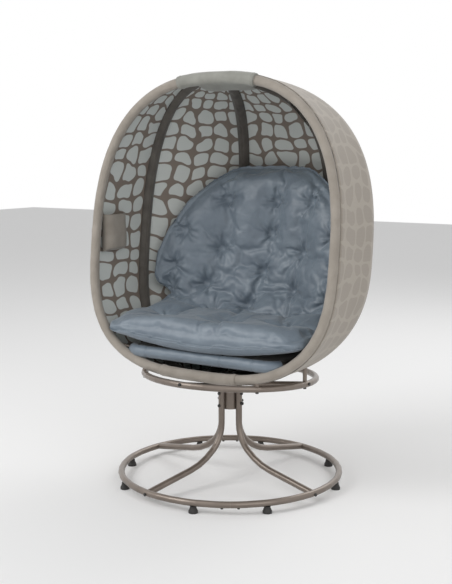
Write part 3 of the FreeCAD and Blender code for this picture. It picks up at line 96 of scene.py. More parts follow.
bronze, nodes, links, shader = new_material("bronze_powder_coat", (0.19, 0.155, 0.13), 0.34, 0.55)
where = mottle(nodes, links, shader, (0.17, 0.138, 0.115), (0.215, 0.178, 0.15), 14.0)
grain(nodes, links, shader, where, 900.0, 0.12, 0.0004)
shader.inputs["Coat Weight"].default_value = 0.25
shader.inputs["Coat Roughness"].default_value = 0.2
finish_nodes(bronze, (
    "floor_ring_left", "floor_ring_right", "leg_front_left", "leg_front_right", "leg_back_left",
    "leg_back_right", "hub_sleeve", "arm_front", "arm_back", "arm_left", "arm_right", "support_ring",
    "rim_left", "rim_right", "rib_left_side", "rib_left_back", "rib_right_back", "rib_right_side",
    "seat_hoop", "crown_bracket", "keel_bracket", "post_head", "pod_spacers", "seat_spacers"))

# Plain and blackened steel: spigots, plugs, post and washer, and the bolts, screws and cap nuts.
# Turned or pressed, zinc plated or black, with fine marks from handling.
zinc, nodes, links, shader = new_material("zinc_plated_steel", (0.5, 0.49, 0.47), 0.35, 0.9)
where = mottle(nodes, links, shader, (0.42, 0.42, 0.41), (0.56, 0.55, 0.53), 60.0)
grain(nodes, links, shader, where, 700.0, 0.1, 0.0003)
finish_nodes(zinc, ("ring_spigots", "leg_plugs", "arm_plugs", "swivel_post", "post_washer"))
black_steel, nodes, links, shader = new_material("blackened_steel", (0.035, 0.033, 0.032), 0.38, 0.6)
where = mottle(nodes, links, shader, (0.025, 0.024, 0.023), (0.055, 0.052, 0.05), 90.0)
grain(nodes, links, shader, where, 800.0, 0.1, 0.0003)
finish_nodes(black_steel, (
    "ring_screws", "foot_screws", "leg_bolts", "hub_through_bolts", "hub_cap_nuts", "hub_upper_screws",
    "post_bolt", "arm_bolts", "spacer_bolts", "rib_pivot_bolts", "seat_bolts"))

# Rubber feet and plastic bushes. Moulded black rubber, matt and a little dusty,
# and smooth dark acetal that is hidden in the sleeve.
rubber, nodes, links, shader = new_material("black_rubber", (0.022, 0.021, 0.02), 0.7)
where = mottle(nodes, links, shader, (0.016, 0.015, 0.015), (0.035, 0.033, 0.031), 50.0)
grain(nodes, links, shader, where, 500.0, 0.25, 0.0005)
finish_nodes(rubber, ("rubber_feet",))
acetal, nodes, links, shader = new_material("dark_acetal", (0.04, 0.04, 0.042), 0.4)
where = mottle(nodes, links, shader, (0.03, 0.03, 0.032), (0.05, 0.05, 0.052), 40.0)
grain(nodes, links, shader, where, 600.0, 0.1, 0.0003)
finish_nodes(acetal, ("lower_bush", "upper_bush", "thrust_washer"))


# Curves of the pod. Each rim half and rib is a squared-off oval in its own upright plane,
# leaned back with the pod, and the fabric pieces below follow these lines.
pod_lean = Matrix.Translation((0, -0.151, 0.8218)) @ Matrix.Rotation(math.radians(-6.67), 4, "X")


class Bow:
    """One line from the crown (turn 0) over the widest level to the keel (turn pi)."""

    def __init__(self, out, back, rise, drop, upper, lower, behind):
        self.span = math.hypot(out, back)
        self.plan = Vector((out / self.span, back / self.span, 0))
        self.rise, self.drop, self.upper, self.lower, self.behind = rise, drop, upper, lower, behind

    def point(self, turn):
        low = turn > math.pi / 2
        exponent, height = (self.lower, -self.drop) if low else (self.upper, self.rise)
        reach = self.span * max(math.sin(turn), 0.0) ** (2 / exponent)
        level = height * abs(math.cos(turn)) ** (2 / exponent)
        return self.plan * reach + Vector((0, self.behind, level))

    def frame_at(self, turn):
        """Point, way along and way outwards in the pod's own frame."""
        step = 0.002
        before, after = self.point(max(turn - step, 0.0)), self.point(min(turn + step, math.pi))
        along = (after - before).normalized()
        out = self.plan * (-along.z) + Vector((0, 0, along.dot(self.plan)))
        return self.point(turn), along, out.normalized()


def even_turns(bow, first, last, count):
    """Turns at equal distances along a line."""
    fine = [first + (last - first) * i / 600 for i in range(601)]
    runs = [0.0]
    for a, b in zip(fine, fine[1:]):
        runs.append(runs[-1] + (bow.point(b) - bow.point(a)).length)
    turns, index = [], 0
    for i in range(count + 1):
        goal = runs[-1] * i / count
        while index < 599 and runs[index + 1] < goal:
            index += 1
        share = (goal - runs[index]) / max(runs[index + 1] - runs[index], 1e-9)
        turns.append(fine[index] + (fine[index + 1] - fine[index]) * min(share, 1.0))
    return turns, runs[-1]


def turn_at(bow, reach, upper=True):
    exponent = bow.upper if upper else bow.lower
    angle = math.asin((reach / bow.span) ** (exponent / 2))
    return angle if upper else math.pi - angle


def side_of(vector, side):
    return Vector((side * vector.x, vector.y, vector.z))


rim_bow = Bow(0.4726, 0, 0.5715, 0.4213, 2.56, 2.88, 0)
side_bow = Bow(0.463, 0.269, 0.580, 0.430, 2.75, 2.46, 0.0115)
back_bow = Bow(0.185, 0.512, 0.580, 0.430, 3.14, 2.99, 0.0115)


def grid_piece(name, across, along, place, size_across, size_along, closed=False):
    """A sheet of quads laid out by place(u, v), with a map in metres; closed joins its long edges."""
    mesh = bpy.data.meshes.new(name)
    shape = bmesh.new()
    bmesh.ops.create_grid(shape, x_segments=across, y_segments=along, size=0.5, calc_uvs=True)
    chart = shape.loops.layers.uv.active or shape.loops.layers.uv.new("cloth")
    flat = {vert: (vert.co.x + 0.5, vert.co.y + 0.5) for vert in shape.verts}
    for face in shape.faces:
        face.smooth = True
        for loop in face.loops:
            u, v = flat[loop.vert]
            loop[chart].uv = (u * size_across, v * size_along)
    for vert, (u, v) in flat.items():
        vert.co = place(u, v)
    if closed:
        bmesh.ops.remove_doubles(shape, verts=shape.verts, dist=1e-5)
    bmesh.ops.recalc_face_normals(shape, faces=shape.faces)
    shape.to_mesh(mesh)
    shape.free()
    mesh.uv_layers[0].name = "cloth"
    piece = bpy.data.objects.new(name, mesh)
    scene.collection.objects.link(piece)
    return piece


def face_outwards(piece, centre):
    """Turns an open sheet's faces away from a point."""
    shape = bmesh.new()
    shape.from_mesh(piece.data)
    inward = sum(1 if face.normal.dot(face.calc_center_median() - centre) < 0 else -1 for face in shape.faces)
    if inward > 0:
        bmesh.ops.reverse_faces(shape, faces=shape.faces)
    shape.to_mesh(piece.data)
    shape.free()


def thicken(piece, thickness, offset=0.0, inner_slot=0):
    """Gives a sheet its thickness; its inner side can have a material of its own."""
    wall = piece.modifiers.new("wall", "SOLIDIFY")
    wall.thickness = thickness
    wall.offset = offset
    wall.material_offset = inner_slot
    wall.material_offset_rim = 0


def join_pieces(name, parts):
    """One mesh from several."""
    shape = bmesh.new()
    for part in parts:
        shape.from_mesh(part.data)
    mesh = bpy.data.meshes.new(name)
    for material in parts[0].data.materials:
        mesh.materials.append(material)
    shape.to_mesh(mesh)
    shape.free()
    for part in parts:
        bpy.data.objects.remove(part)
    piece = bpy.data.objects.new(name, mesh)
    scene.collection.objects.link(piece)
    return piece


# Mesh panels between rim and ribs. Coated open mesh, stretched taut, with a printed pattern of pale
# rounded tiles on brown inside, and plain taupe outside with painted shade darkening it over the tiles.
pod_centre = pod_lean @ Vector((0, 0.1, 0))
WEAVE_PITCH = 0.0042


def tile_pattern(nodes, links):
    """Staggered rounded tiles, a little uneven, from the cloth's own map in metres."""
    chart = nodes.new("ShaderNodeUVMap")
    chart.uv_map = "cloth"
    drift = nodes.new("ShaderNodeTexNoise")
    drift.inputs["Scale"].default_value = 9.0
    drift.inputs["Detail"].default_value = 1.5
    centred = nodes.new("ShaderNodeVectorMath")
    centred.operation = "SUBTRACT"
    centred.inputs[1].default_value = (0.5, 0.5, 0.5)
    spread = nodes.new("ShaderNodeVectorMath")
    spread.operation = "SCALE"
    spread.inputs["Scale"].default_value = 0.085
    moved = nodes.new("ShaderNodeVectorMath")
    moved.operation = "ADD"
    split = nodes.new("ShaderNodeSeparateXYZ")
    links.new(chart.outputs["UV"], drift.inputs["Vector"])
    links.new(drift.outputs["Color"], centred.inputs[0])
    links.new(centred.outputs["Vector"], spread.inputs[0])
    links.new(chart.outputs["UV"], moved.inputs[0])
    links.new(spread.outputs["Vector"], moved.inputs[1])
    links.new(moved.outputs["Vector"], split.inputs["Vector"])
    waves = []
    for axis, pitch in (("X", 0.150), ("Y", 0.120)):
        scaled = nodes.new("ShaderNodeMath")
        scaled.operation = "MULTIPLY"
        scaled.inputs[1].default_value = 2 * math.pi / pitch
        wave = nodes.new("ShaderNodeMath")
        wave.operation = "COSINE"
        links.new(split.outputs[axis], scaled.inputs[0])
        links.new(scaled.outputs["Value"], wave.inputs[0])
        waves.append(wave)
    product = nodes.new("ShaderNodeMath")
    product.operation = "MULTIPLY"
    links.new(waves[0].outputs["Value"], product.inputs[0])
    links.new(waves[1].outputs["Value"], product.inputs[1])
    height = nodes.new("ShaderNodeMath")
    height.operation = "ABSOLUTE"
    links.new(product.outputs["Value"], height.inputs[0])
    edge = nodes.new("ShaderNodeMapRange")
    edge.interpolation_type = "SMOOTHSTEP"
    edge.inputs["From Min"].default_value = 0.20
    edge.inputs["From Max"].default_value = 0.27
    links.new(height.outputs["Value"], edge.inputs["Value"])
    return chart, edge


def open_weave(nodes, links, chart):
    """Small dots of an open weave."""
    stretch = nodes.new("ShaderNodeMapping")
    stretch.inputs["Scale"].default_value = (1 / WEAVE_PITCH, 1 / WEAVE_PITCH, 1)
    dots = nodes.new("ShaderNodeTexVoronoi")
    dots.inputs["Scale"].default_value = 1.0
    dots.inputs["Randomness"].default_value = 0.0
    links.new(chart.outputs["UV"], stretch.inputs["Vector"])
    links.new(stretch.outputs["Vector"], dots.inputs["Vector"])
    return dots


def blend_colours(nodes, links, amount, low, high):
    """Mixes two colours, each written out or taken from another node."""
    blend = nodes.new("ShaderNodeMix")
    blend.data_type = "RGBA"
    for name, colour in (("A", low), ("B", high)):
        if isinstance(colour, tuple):
            blend.inputs[name].default_value = (*colour, 1)
        else:
            links.new(colour, blend.inputs[name])
    links.new(amount, blend.inputs["Factor"])
    return blend.outputs["Result"]


def mesh_cloth(name, colour, roughness, between, tiles):
    """Open mesh with a tile pattern, printed on the inside and painted shade on the outside; between and
    tiles each give a thread's colour and a gap's.
    """
    material, nodes, links, shader = new_material(name, colour, roughness)
    chart, edge = tile_pattern(nodes, links)
    dots = open_weave(nodes, links, chart)
    ground = blend_colours(nodes, links, dots.outputs["Distance"], *between)
    print_and_shade_colour = blend_colours(nodes, links, dots.outputs["Distance"], *tiles)
    cloth = blend_colours(nodes, links, edge.outputs["Result"], ground, print_and_shade_colour)
    links.new(cloth, shader.inputs["Base Color"])
    bump = nodes.new("ShaderNodeBump")
    bump.inputs["Strength"].default_value = 0.35
    bump.inputs["Distance"].default_value = 0.0006
    links.new(dots.outputs["Distance"], bump.inputs["Height"])
    links.new(bump.outputs["Normal"], shader.inputs["Normal"])
    return material, shader


mesh_inside, shader = mesh_cloth(
    "mesh_print_inside", (0.4, 0.38, 0.34), 0.75,
    ((0.26, 0.215, 0.18), (0.15, 0.12, 0.10)), ((0.70, 0.73, 0.70), (0.42, 0.44, 0.43)))
# Outside, the tile colours are painted shade: a darker taupe over the tiles.
mesh_outside, shader = mesh_cloth(
    "mesh_outside", (0.33, 0.30, 0.26), 0.7,
    ((0.385, 0.345, 0.295), (0.285, 0.25, 0.21)), ((0.33, 0.293, 0.25), (0.235, 0.205, 0.172)))
shader.inputs["Sheen Weight"].default_value = 0.15

RIM_HOLD, RIB_HOLD = 0.0168, 0.0086
PANEL_START, PANEL_COLUMNS, PANEL_ROWS = 0.062, 16, 84
panel_turns, panel_length = even_turns(
    rim_bow, turn_at(rim_bow, PANEL_START), turn_at(rim_bow, PANEL_START, False), PANEL_ROWS)


def touch(bow, side, turn, hold, along, ridge):
    """Where the taut cloth leaves a rim or rib."""
    point, way, normal = (side_of(item, side) for item in bow.frame_at(turn))
    out = way.cross(along).normalized()
    if out.dot(normal) < 0:
        out = -out
    lean = min(1.0, out.dot(normal))
    extra = hold * math.sqrt(max(0.0, 1 - lean * lean)) / max(lean, 0.2) if ridge else 0.0
    return point + out * hold - along * extra, out


def panel_piece(name, first, second, shift):
    """One panel from (line, side, hold, over a ridge) to another."""
    def place(u, v):
        turn = panel_turns[min(round(v * PANEL_ROWS), PANEL_ROWS)]
        a, b = first[0].point(turn), second[0].point(turn)
        along = (side_of(b, second[1]) - side_of(a, first[1])).normalized()
        start, out_a = touch(first[0], first[1], turn, first[2], along, first[3])
        end, out_b = touch(second[0], second[1], turn, second[2], -along, second[3])
        spot = start.lerp(end, u)
        out = out_a.lerp(out_b, u).normalized()
        slack = noise.noise(Vector((u * 3 + shift, v * 9, 2.1))) * 0.0012 * math.sin(math.pi * u)
        pull = 0.003 * math.sin(math.pi * u) * math.sin(math.pi * v)
        return pod_lean @ (spot + out * (0.00075 + slack - pull))
    wide = (side_of(second[0].point(1.57), second[1]) - side_of(first[0].point(1.57), first[1])).length
    piece = grid_piece(name + "_cloth", PANEL_COLUMNS, PANEL_ROWS, place, wide, panel_length)
    for loop in piece.data.uv_layers[0].data:
        loop.uv.x += shift
    face_outwards(piece, pod_centre)
    piece.data.materials.append(mesh_outside)
    piece.data.materials.append(mesh_inside)
    thicken(piece, 0.0012, 0.0, 1)
    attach(piece, "pod")
    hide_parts(name)


rim_l, rim_r = (rim_bow, -1, RIM_HOLD, False), (rim_bow, 1, RIM_HOLD, False)
side_l, side_r = (side_bow, -1, RIB_HOLD, True), (side_bow, 1, RIB_HOLD, True)
back_l, back_r = (back_bow, -1, RIB_HOLD, True), (back_bow, 1, RIB_HOLD, True)
panel_piece("panel_left_front", rim_l, side_l, 0.0)
panel_piece("panel_left_back", side_l, back_l, 0.41)
panel_piece("panel_back", back_l, back_r, 0.93)
panel_piece("panel_right_back", back_r, side_r, 1.37)
panel_piece("panel_right_front", side_r, rim_r, 1.83)


# Woven cloth of sleeves, wraps, pocket and deck: close polyester, dyed, with a fine square weave.
# The rim sleeve is padded, sewn along its length and slightly twisted, so it wrinkles at a slant.
THREAD_PITCH = 0.0016


def woven(name, dark, light, roughness=0.8, sheen=0.2):
    material, nodes, links, shader = new_material(name, light, roughness)
    where = mottle(nodes, links, shader, dark, light, 22.0)
    threads = nodes.new("ShaderNodeTexVoronoi")
    threads.inputs["Scale"].default_value = 1 / THREAD_PITCH
    threads.inputs["Randomness"].default_value = 0.25
    creases = nodes.new("ShaderNodeTexNoise")
    creases.inputs["Scale"].default_value = 30.0
    creases.inputs["Detail"].default_value = 3.0
    first = nodes.new("ShaderNodeBump")
    first.inputs["Strength"].default_value = 0.3
    first.inputs["Distance"].default_value = 0.0005
    second = nodes.new("ShaderNodeBump")
    second.inputs["Strength"].default_value = 0.25
    second.inputs["Distance"].default_value = 0.003
    links.new(where.outputs["Object"], threads.inputs["Vector"])
    links.new(where.outputs["Object"], creases.inputs["Vector"])
    links.new(threads.outputs["Distance"], first.inputs["Height"])
    links.new(creases.outputs["Fac"], second.inputs["Height"])
    links.new(first.outputs["Normal"], second.inputs["Normal"])
    links.new(second.outputs["Normal"], shader.inputs["Normal"])
    shader.inputs["Sheen Weight"].default_value = sheen
    return material


taupe_cloth = woven("taupe_cloth", (0.27, 0.24, 0.205), (0.335, 0.30, 0.26))


def close_ends(piece):
    """Caps the open ends of a tube and turns its faces outwards."""
    shape = bmesh.new()
    shape.from_mesh(piece.data)
    bmesh.ops.holes_fill(shape, edges=[edge for edge in shape.edges if edge.is_boundary], sides=0)
    bmesh.ops.recalc_face_normals(shape, faces=shape.faces)
    shape.to_mesh(piece.data)
    shape.free()


def sleeve_pair(name, bow, turns, length, radius, around, wrinkle):
    """A padded sleeve round a line, on each side of the pod."""
    count = len(turns) - 1
    parts = []
    for side in (-1, 1):
        def place(u, v):
            turn = turns[min(round(v * count), count)]
            point, way, normal = bow.frame_at(turn)
            other = way.cross(normal)
            angle = 2 * math.pi * u
            fold = noise.noise(Vector((3.0 * math.cos(angle) + side, 3.0 * math.sin(angle),
                                       v * length * 26 + 2.2 * angle)))
            finer = Vector((6 * math.cos(angle), 6 * math.sin(angle) + side, v * length * 60))
            fold += 0.5 * noise.noise(finer)
            size = radius + wrinkle * fold
            seam = math.exp(-((u - 0.62) / 0.012) ** 2)
            size += 0.0012 * seam
            spot = point + (normal * math.cos(angle) + other * math.sin(angle)) * size
            return pod_lean @ side_of(spot, side)
        part = grid_piece(f"{name}_{side}", around, count, place, 2 * math.pi * radius, length, True)
        parts.append(part)
    piece = join_pieces(name, parts)
    close_ends(piece)
    return piece


SLEEVE_START, SLEEVE_ROWS, SLEEVE_RADIUS = 0.060, 420, 0.0162
sleeve_turns, sleeve_length = even_turns(
    rim_bow, turn_at(rim_bow, SLEEVE_START), turn_at(rim_bow, SLEEVE_START, False), SLEEVE_ROWS)
rim_sleeves = sleeve_pair(
    "rim_sleeve_pair", rim_bow, sleeve_turns, sleeve_length, SLEEVE_RADIUS, 26, 0.0009)
rim_sleeves.data.materials.append(taupe_cloth)
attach(rim_sleeves, "pod")
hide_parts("rim_sleeves")

# Wraps at crown and keel: sewn sleeves over the joints, hemmed at both ends. The crown's is thicker,
# grey-olive, and has a flap that hangs inside under the rib ends.
grey_cloth = woven("grey_cloth", (0.21, 0.21, 0.185), (0.285, 0.285, 0.255), 0.7, 0.3)
WRAP_HALF_LENGTH, WRAP_ROWS = 0.150, 60
FLAP_WIDTH, FLAP_DEPTH = 0.20, 0.082


def wrap_piece(name, upper, radius, material):
    """A sewn tube over the middle of the rim, at its crown or at its keel."""
    level = 0.0 if upper else math.pi
    reach = turn_at(rim_bow, WRAP_HALF_LENGTH, upper)
    turns, length = even_turns(rim_bow, min(level, reach), max(level, reach), WRAP_ROWS)
    if not upper:
        turns = turns[::-1]

    def place(u, v):
        side = -1 if v < 0.5 else 1
        turn = turns[round(abs(v - 0.5) * 2 * WRAP_ROWS)]
        point, way, normal = rim_bow.frame_at(turn)
        if abs(turn - level) < 1e-6:
            way, normal = Vector((1, 0, 0)), Vector((0, 0, 1 if upper else -1))
        other = Vector((0, 1, 0))
        angle = 2 * math.pi * u
        hem = 0.0012 * math.exp(-((min(v, 1 - v) - 0.035) / 0.012) ** 2)
        fold = noise.noise(Vector((2.5 * math.cos(angle), 2.5 * math.sin(angle), v * 9 + 0.8 * angle)))
        size = radius + hem + 0.0011 * fold
        spot = point + (normal * math.cos(angle) + other * math.sin(angle)) * size
        return pod_lean @ side_of(spot, side)

    piece = grid_piece(name, 32, 2 * WRAP_ROWS, place, 2 * math.pi * radius, 2 * length, True)
    close_ends(piece)
    piece.data.materials.append(material)
    return piece


crown_tube = wrap_piece("crown_tube", True, 0.0218, grey_cloth)


def flap_place(u, v):
    side = (u - 0.5) * FLAP_WIDTH
    back = 0.014 + FLAP_DEPTH * v
    sag = 0.004 * math.sin(math.pi * u) * v + 0.002 * math.sin(9 * u) * v
    return pod_lean @ Vector((side, back, rim_bow.rise - 0.012 - 0.0095 * v - sag))


flap = grid_piece("crown_flap", 40, 18, flap_place, FLAP_WIDTH, FLAP_DEPTH)
flap.data.materials.append(grey_cloth)
shape = bmesh.new()
shape.from_mesh(flap.data)
bmesh.ops.solidify(shape, geom=shape.faces[:], thickness=0.002)
shape.to_mesh(flap.data)
shape.free()
crown_wrap = join_pieces("crown_wrap_sewn", [crown_tube, flap])
for face in crown_wrap.data.polygons:
    face.use_smooth = True
keel_wrap = wrap_piece("keel_wrap_sewn", False, 0.0190, taupe_cloth)
for piece, node, slot in (
        (crown_wrap, "crown_wrap", "grey_fabric"), (keel_wrap, "keel_wrap", "taupe_fabric")):
    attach(piece, "pod")
    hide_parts(node)

# Channels over the ribs: strips of dark cloth sewn to the panels inside, each round its rib.
# They are slightly too long for the rib, so they ruche across.
# Dark cloth of the rib channels; on the seat deck the same dark colour is painted shade.
dark_cloth_and_painted_shade = woven("dark_cloth_and_painted_shade", (0.085, 0.076, 0.066), (0.125, 0.112, 0.098), 0.85, 0.15)
CHANNEL_START, CHANNEL_ROWS = 0.064, 260
channel_turns, channel_length = even_turns(
    side_bow, turn_at(side_bow, CHANNEL_START), turn_at(side_bow, CHANNEL_START, False), CHANNEL_ROWS)


def channel_piece(bow, side, neighbours, name):
    """A strip round one rib, held between the panels towards its two neighbours."""
    def place(u, v):
        turn = channel_turns[min(round(v * CHANNEL_ROWS), CHANNEL_ROWS)]
        point, way, normal = (side_of(item, side) for item in bow.frame_at(turn))
        tips = []
        for other, other_side in neighbours:
            away = side_of(other.point(turn), other_side) - point
            gap = away.length
            away = (away - way * away.dot(way)).normalized()
            out = (normal - away * normal.dot(away)).normalized()
            tips.append(point + away * min(0.019, 0.42 * gap) + out * (RIB_HOLD - 0.0014))
        low = point - normal * (RIB_HOLD + 0.0042)
        across = 2 * u - 1
        edge = tips[0] if across < 0 else tips[1]
        bend = math.sin(abs(across) * math.pi / 2)
        spot = low.lerp(edge, abs(across) ** 1.1)
        spot = spot - normal * (0.0046 * math.sin(math.pi * abs(across) ** 0.8))
        ruche = noise.noise(Vector((across * 2.2 + side, v * channel_length * 55, 0.4)))
        ruche *= 1 - abs(across) ** 3
        return pod_lean @ (spot - normal * (0.0016 * (ruche + 0.4) * (1 - bend ** 6)))
    return grid_piece(name, 16, CHANNEL_ROWS, place, 0.05, channel_length)


channels = []
for side in (-1, 1):
    channels.append(channel_piece(
        side_bow, side, ((rim_bow, side), (back_bow, side)), f"channel_side_{side}"))
    channels.append(channel_piece(
        back_bow, side, ((side_bow, side), (back_bow, -side)), f"channel_back_{side}"))
rib_sleeves = join_pieces("rib_channels", channels)
rib_sleeves.data.materials.append(dark_cloth_and_painted_shade)
thicken(rib_sleeves, 0.0009)
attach(rib_sleeves, "pod")
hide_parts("rib_sleeves")

# Cup pocket on the left wall: a flat pouch of the sleeve's cloth, open at the top,
# with a folded hem round its mouth. It lies against the front mesh panel.
low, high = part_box("cup_pocket")


def pocket_place(u, v):
    turn = 2 * u - 1
    reach = max(0.0, 1 - abs(turn) ** 4) ** 0.5
    deep = (high.x - low.x - 0.012) * reach * (0.86 + 0.14 * math.sin(math.pi * min(1.0, v * 1.25)))
    front = low.y + 0.002 + (high.y - low.y - 0.004) * (turn + 1) / 2
    lean = -0.0065 * (turn + 1) / 2
    crease = 0.0015 * noise.noise(Vector((u * 5, v * 4, 1.0)))
    round_foot = min(1.0, v / 0.10) ** 0.5
    return Vector((low.x + 0.0085 + lean + deep * round_foot + crease,
                   front, low.z + 0.001 + (high.z - low.z - 0.002) * v))


pocket = grid_piece("pocket_pouch", 40, 30, pocket_place, 0.18, 0.136)
face_outwards(pocket, Vector((low.x + 0.012, (low.y + high.y) / 2, (low.z + high.z) / 2)))
pocket.data.materials.append(taupe_cloth)
thicken(pocket, 0.0018, -1.0)
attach(pocket, "pod")
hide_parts("cup_pocket")

# Seat deck: a flat sling sewn over the hoop, under the cushion, in dark cloth that is painted shade for the
# gap under the band.
deck_low, deck_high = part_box("seat_deck")
DECK_CORNER_Y, DECK_FRONT_HALF, DECK_SIDE_HALF = 0.013, 0.297, 0.294


def deck_place(u, v):
    back = deck_low.y + (deck_high.y - deck_low.y) * v
    if back < DECK_CORNER_Y:
        half = DECK_FRONT_HALF - 0.003 * min(1.0, v * 2)
    else:
        half = DECK_SIDE_HALF - 0.163 * (back - DECK_CORNER_Y) / 0.199
    sag = 0.0006 * math.sin(math.pi * u) * math.sin(math.pi * v)
    return Vector(((2 * u - 1) * half, back, (deck_low.z + deck_high.z) / 2 - sag))


deck = grid_piece("seat_sling", 40, 30, deck_place, 0.59, 0.38)
# The sling's dark colour is painted shade, standing in for the shadow in the gap under the band.
deck.data.materials.append(dark_cloth_and_painted_shade)
thicken(deck, 0.0022)
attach(deck, "pod")
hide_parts("seat_deck")

# Padded band round the front bar, in the cushion's cloth, with a stitched line along it
# and upright seams where its lengths are joined.
blue_shine, nodes, links, shader = new_material("blue_polyester", (0.16, 0.195, 0.235), 0.42)
where = mottle(nodes, links, shader, (0.135, 0.168, 0.205), (0.175, 0.215, 0.255), 16.0)
puckers = nodes.new("ShaderNodeTexNoise")
puckers.inputs["Scale"].default_value = 38.0
puckers.inputs["Detail"].default_value = 4.0
puckers.inputs["Distortion"].default_value = 0.8
threads = nodes.new("ShaderNodeTexVoronoi")
threads.inputs["Scale"].default_value = 900.0
first = nodes.new("ShaderNodeBump")
first.inputs["Strength"].default_value = 0.1
first.inputs["Distance"].default_value = 0.0004
second = nodes.new("ShaderNodeBump")
second.inputs["Strength"].default_value = 0.35
second.inputs["Distance"].default_value = 0.006
links.new(where.outputs["Object"], puckers.inputs["Vector"])
links.new(where.outputs["Object"], threads.inputs["Vector"])
links.new(threads.outputs["Distance"], first.inputs["Height"])
links.new(puckers.outputs["Fac"], second.inputs["Height"])
links.new(first.outputs["Normal"], second.inputs["Normal"])
links.new(second.outputs["Normal"], shader.inputs["Normal"])
shader.inputs["Sheen Weight"].default_value = 0.25
shader.inputs["Sheen Roughness"].default_value = 0.4


BAR_Y, BAR_Z, BAR_STRAIGHT, BAR_BEND = -0.190, 0.462, 0.250, 0.050
BAND_REACH, BAND_RADIUS = 0.3015, 0.0203


def band_place(u, v):
    run = (2 * v - 1) * BAND_REACH
    bend = max(0.0, abs(run) - BAR_STRAIGHT) / BAR_BEND
    along = math.copysign(min(abs(run), BAR_STRAIGHT) + BAR_BEND * math.sin(bend), run)
    rest_y = BAR_Y + BAR_BEND * (1 - math.cos(bend))
    angle = 2 * math.pi * u
    seams = sum(math.exp(-((along - place) / 0.0035) ** 2) for place in (-0.215, 0.085, 0.21))
    stitch = math.exp(-((u - 0.92) / 0.018) ** 2)
    fold = noise.noise(Vector((2 * math.cos(angle), 2 * math.sin(angle), along * 30)))
    size = BAND_RADIUS - 0.0016 * seams - 0.0016 * stitch + 0.0011 * fold
    turned = math.copysign(math.sin(bend), run)
    return Vector((along + turned * size * math.cos(angle),
                   rest_y - math.cos(bend) * size * math.cos(angle), BAR_Z + size * math.sin(angle)))


band = grid_piece("front_band", 40, 220, band_place, 0.13, 0.6, True)
close_ends(band)
band.data.materials.append(blue_shine)
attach(band, "pod")
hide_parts("seat_band")

# One-piece cushion over seat and back: two covers of thin shiny polyester filled with fibre and sewn
# through at staggered tufts. It is blown up from the plain form while the tufts are held.
TUFTS = [Vector(spot) for spot in (
    (-0.228, -0.06, 0.561), (0.03, -0.06, 0.553), (0.26, -0.06, 0.563), (-0.15, 0.114, 0.57),
    (0.15, 0.114, 0.57), (-0.33, 0.111, 0.647), (-0.032, 0.175, 0.592), (0.31, 0.119, 0.64),
    (-0.208, 0.173, 0.662), (0.14, 0.193, 0.656), (-0.33, 0.128, 0.73), (0.0, 0.229, 0.713),
    (0.33, 0.128, 0.73), (-0.169, 0.217, 0.791), (0.165, 0.219, 0.791), (-0.301, 0.168, 0.856),
    (0.022, 0.252, 0.852), (0.31, 0.163, 0.856), (-0.155, 0.243, 0.972), (0.039, 0.263, 0.971),
    (0.194, 0.231, 0.972))]
COVER_CELL, COVER_INSET = 0.008, 0.003
TUFT_HOLD, TUFT_REACH = 0.013, 0.11
SWELL_IN_FRONT, SWELL_BEHIND = 0.022, 0.004


def applied(piece):
    """The piece's mesh with its modifiers applied."""
    depsgraph = bpy.context.evaluated_depsgraph_get()
    mesh = bpy.data.meshes.new_from_object(piece.evaluated_get(depsgraph))
    piece.modifiers.clear()
    piece.data = mesh
    return mesh


shape = bmesh.new()
shape.from_mesh(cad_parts["cushion"].data)
bmesh.ops.remove_doubles(shape, verts=shape.verts, dist=2e-5)
mesh = bpy.data.meshes.new("cushion_cover")
shape.to_mesh(mesh)
shape.free()
cushion = bpy.data.objects.new("tufted_cushion", mesh)
scene.collection.objects.link(cushion)
even = cushion.modifiers.new("even", "REMESH")
even.mode = "VOXEL"
even.voxel_size = COVER_CELL
applied(cushion)
shape = bmesh.new()
shape.from_mesh(cushion.data)
for _ in range(3):
    bmesh.ops.smooth_vert(shape, verts=shape.verts, factor=0.5,
                          use_axis_x=True, use_axis_y=True, use_axis_z=True)
shape.normal_update()
for vert in shape.verts:
    vert.co -= vert.normal * COVER_INSET
shape.to_mesh(cushion.data)
shape.free()

start = [vert.co.copy() for vert in cushion.data.vertices]
facing = [vert.normal.copy() for vert in cushion.data.vertices]
held = [index for index, spot in enumerate(start)
        if min((spot - tuft).length for tuft in TUFTS) < TUFT_HOLD]
sewn = cushion.vertex_groups.new(name="sewn")
sewn.add(held, 1.0, "REPLACE")
stuffing = cushion.modifiers.new("stuffing", "CLOTH")
stuffing.settings.use_pressure = True
stuffing.settings.uniform_pressure_force = 4.0
stuffing.settings.vertex_group_mass = "sewn"
stuffing.settings.effector_weights.gravity = 0
stuffing.settings.shrink_min = -0.035
stuffing.settings.quality = 4
stuffing.settings.bending_stiffness = 1.0
stuffing.collision_settings.use_collision = False
for step in range(1, 21):
    scene.frame_set(step)
applied(cushion)
scene.frame_set(1)
for vert, before, way in zip(cushion.data.vertices, start, facing):
    move = vert.co - before
    behind = way.y > 0.25 or way.z < -0.25
    limit = SWELL_BEHIND if behind else SWELL_IN_FRONT
    if move.length > limit:
        move *= limit / move.length
    vert.co = before + move
finer = cushion.modifiers.new("finer", "SUBSURF")
finer.levels = finer.render_levels = 1
applied(cushion)
tuft_ways = []
for tuft in TUFTS:
    nearest = min(cushion.data.vertices, key=lambda vert: (vert.co - tuft).length_squared)
    tuft_ways.append(nearest.normal.copy())
ways = [vert.normal.copy() for vert in cushion.data.vertices]
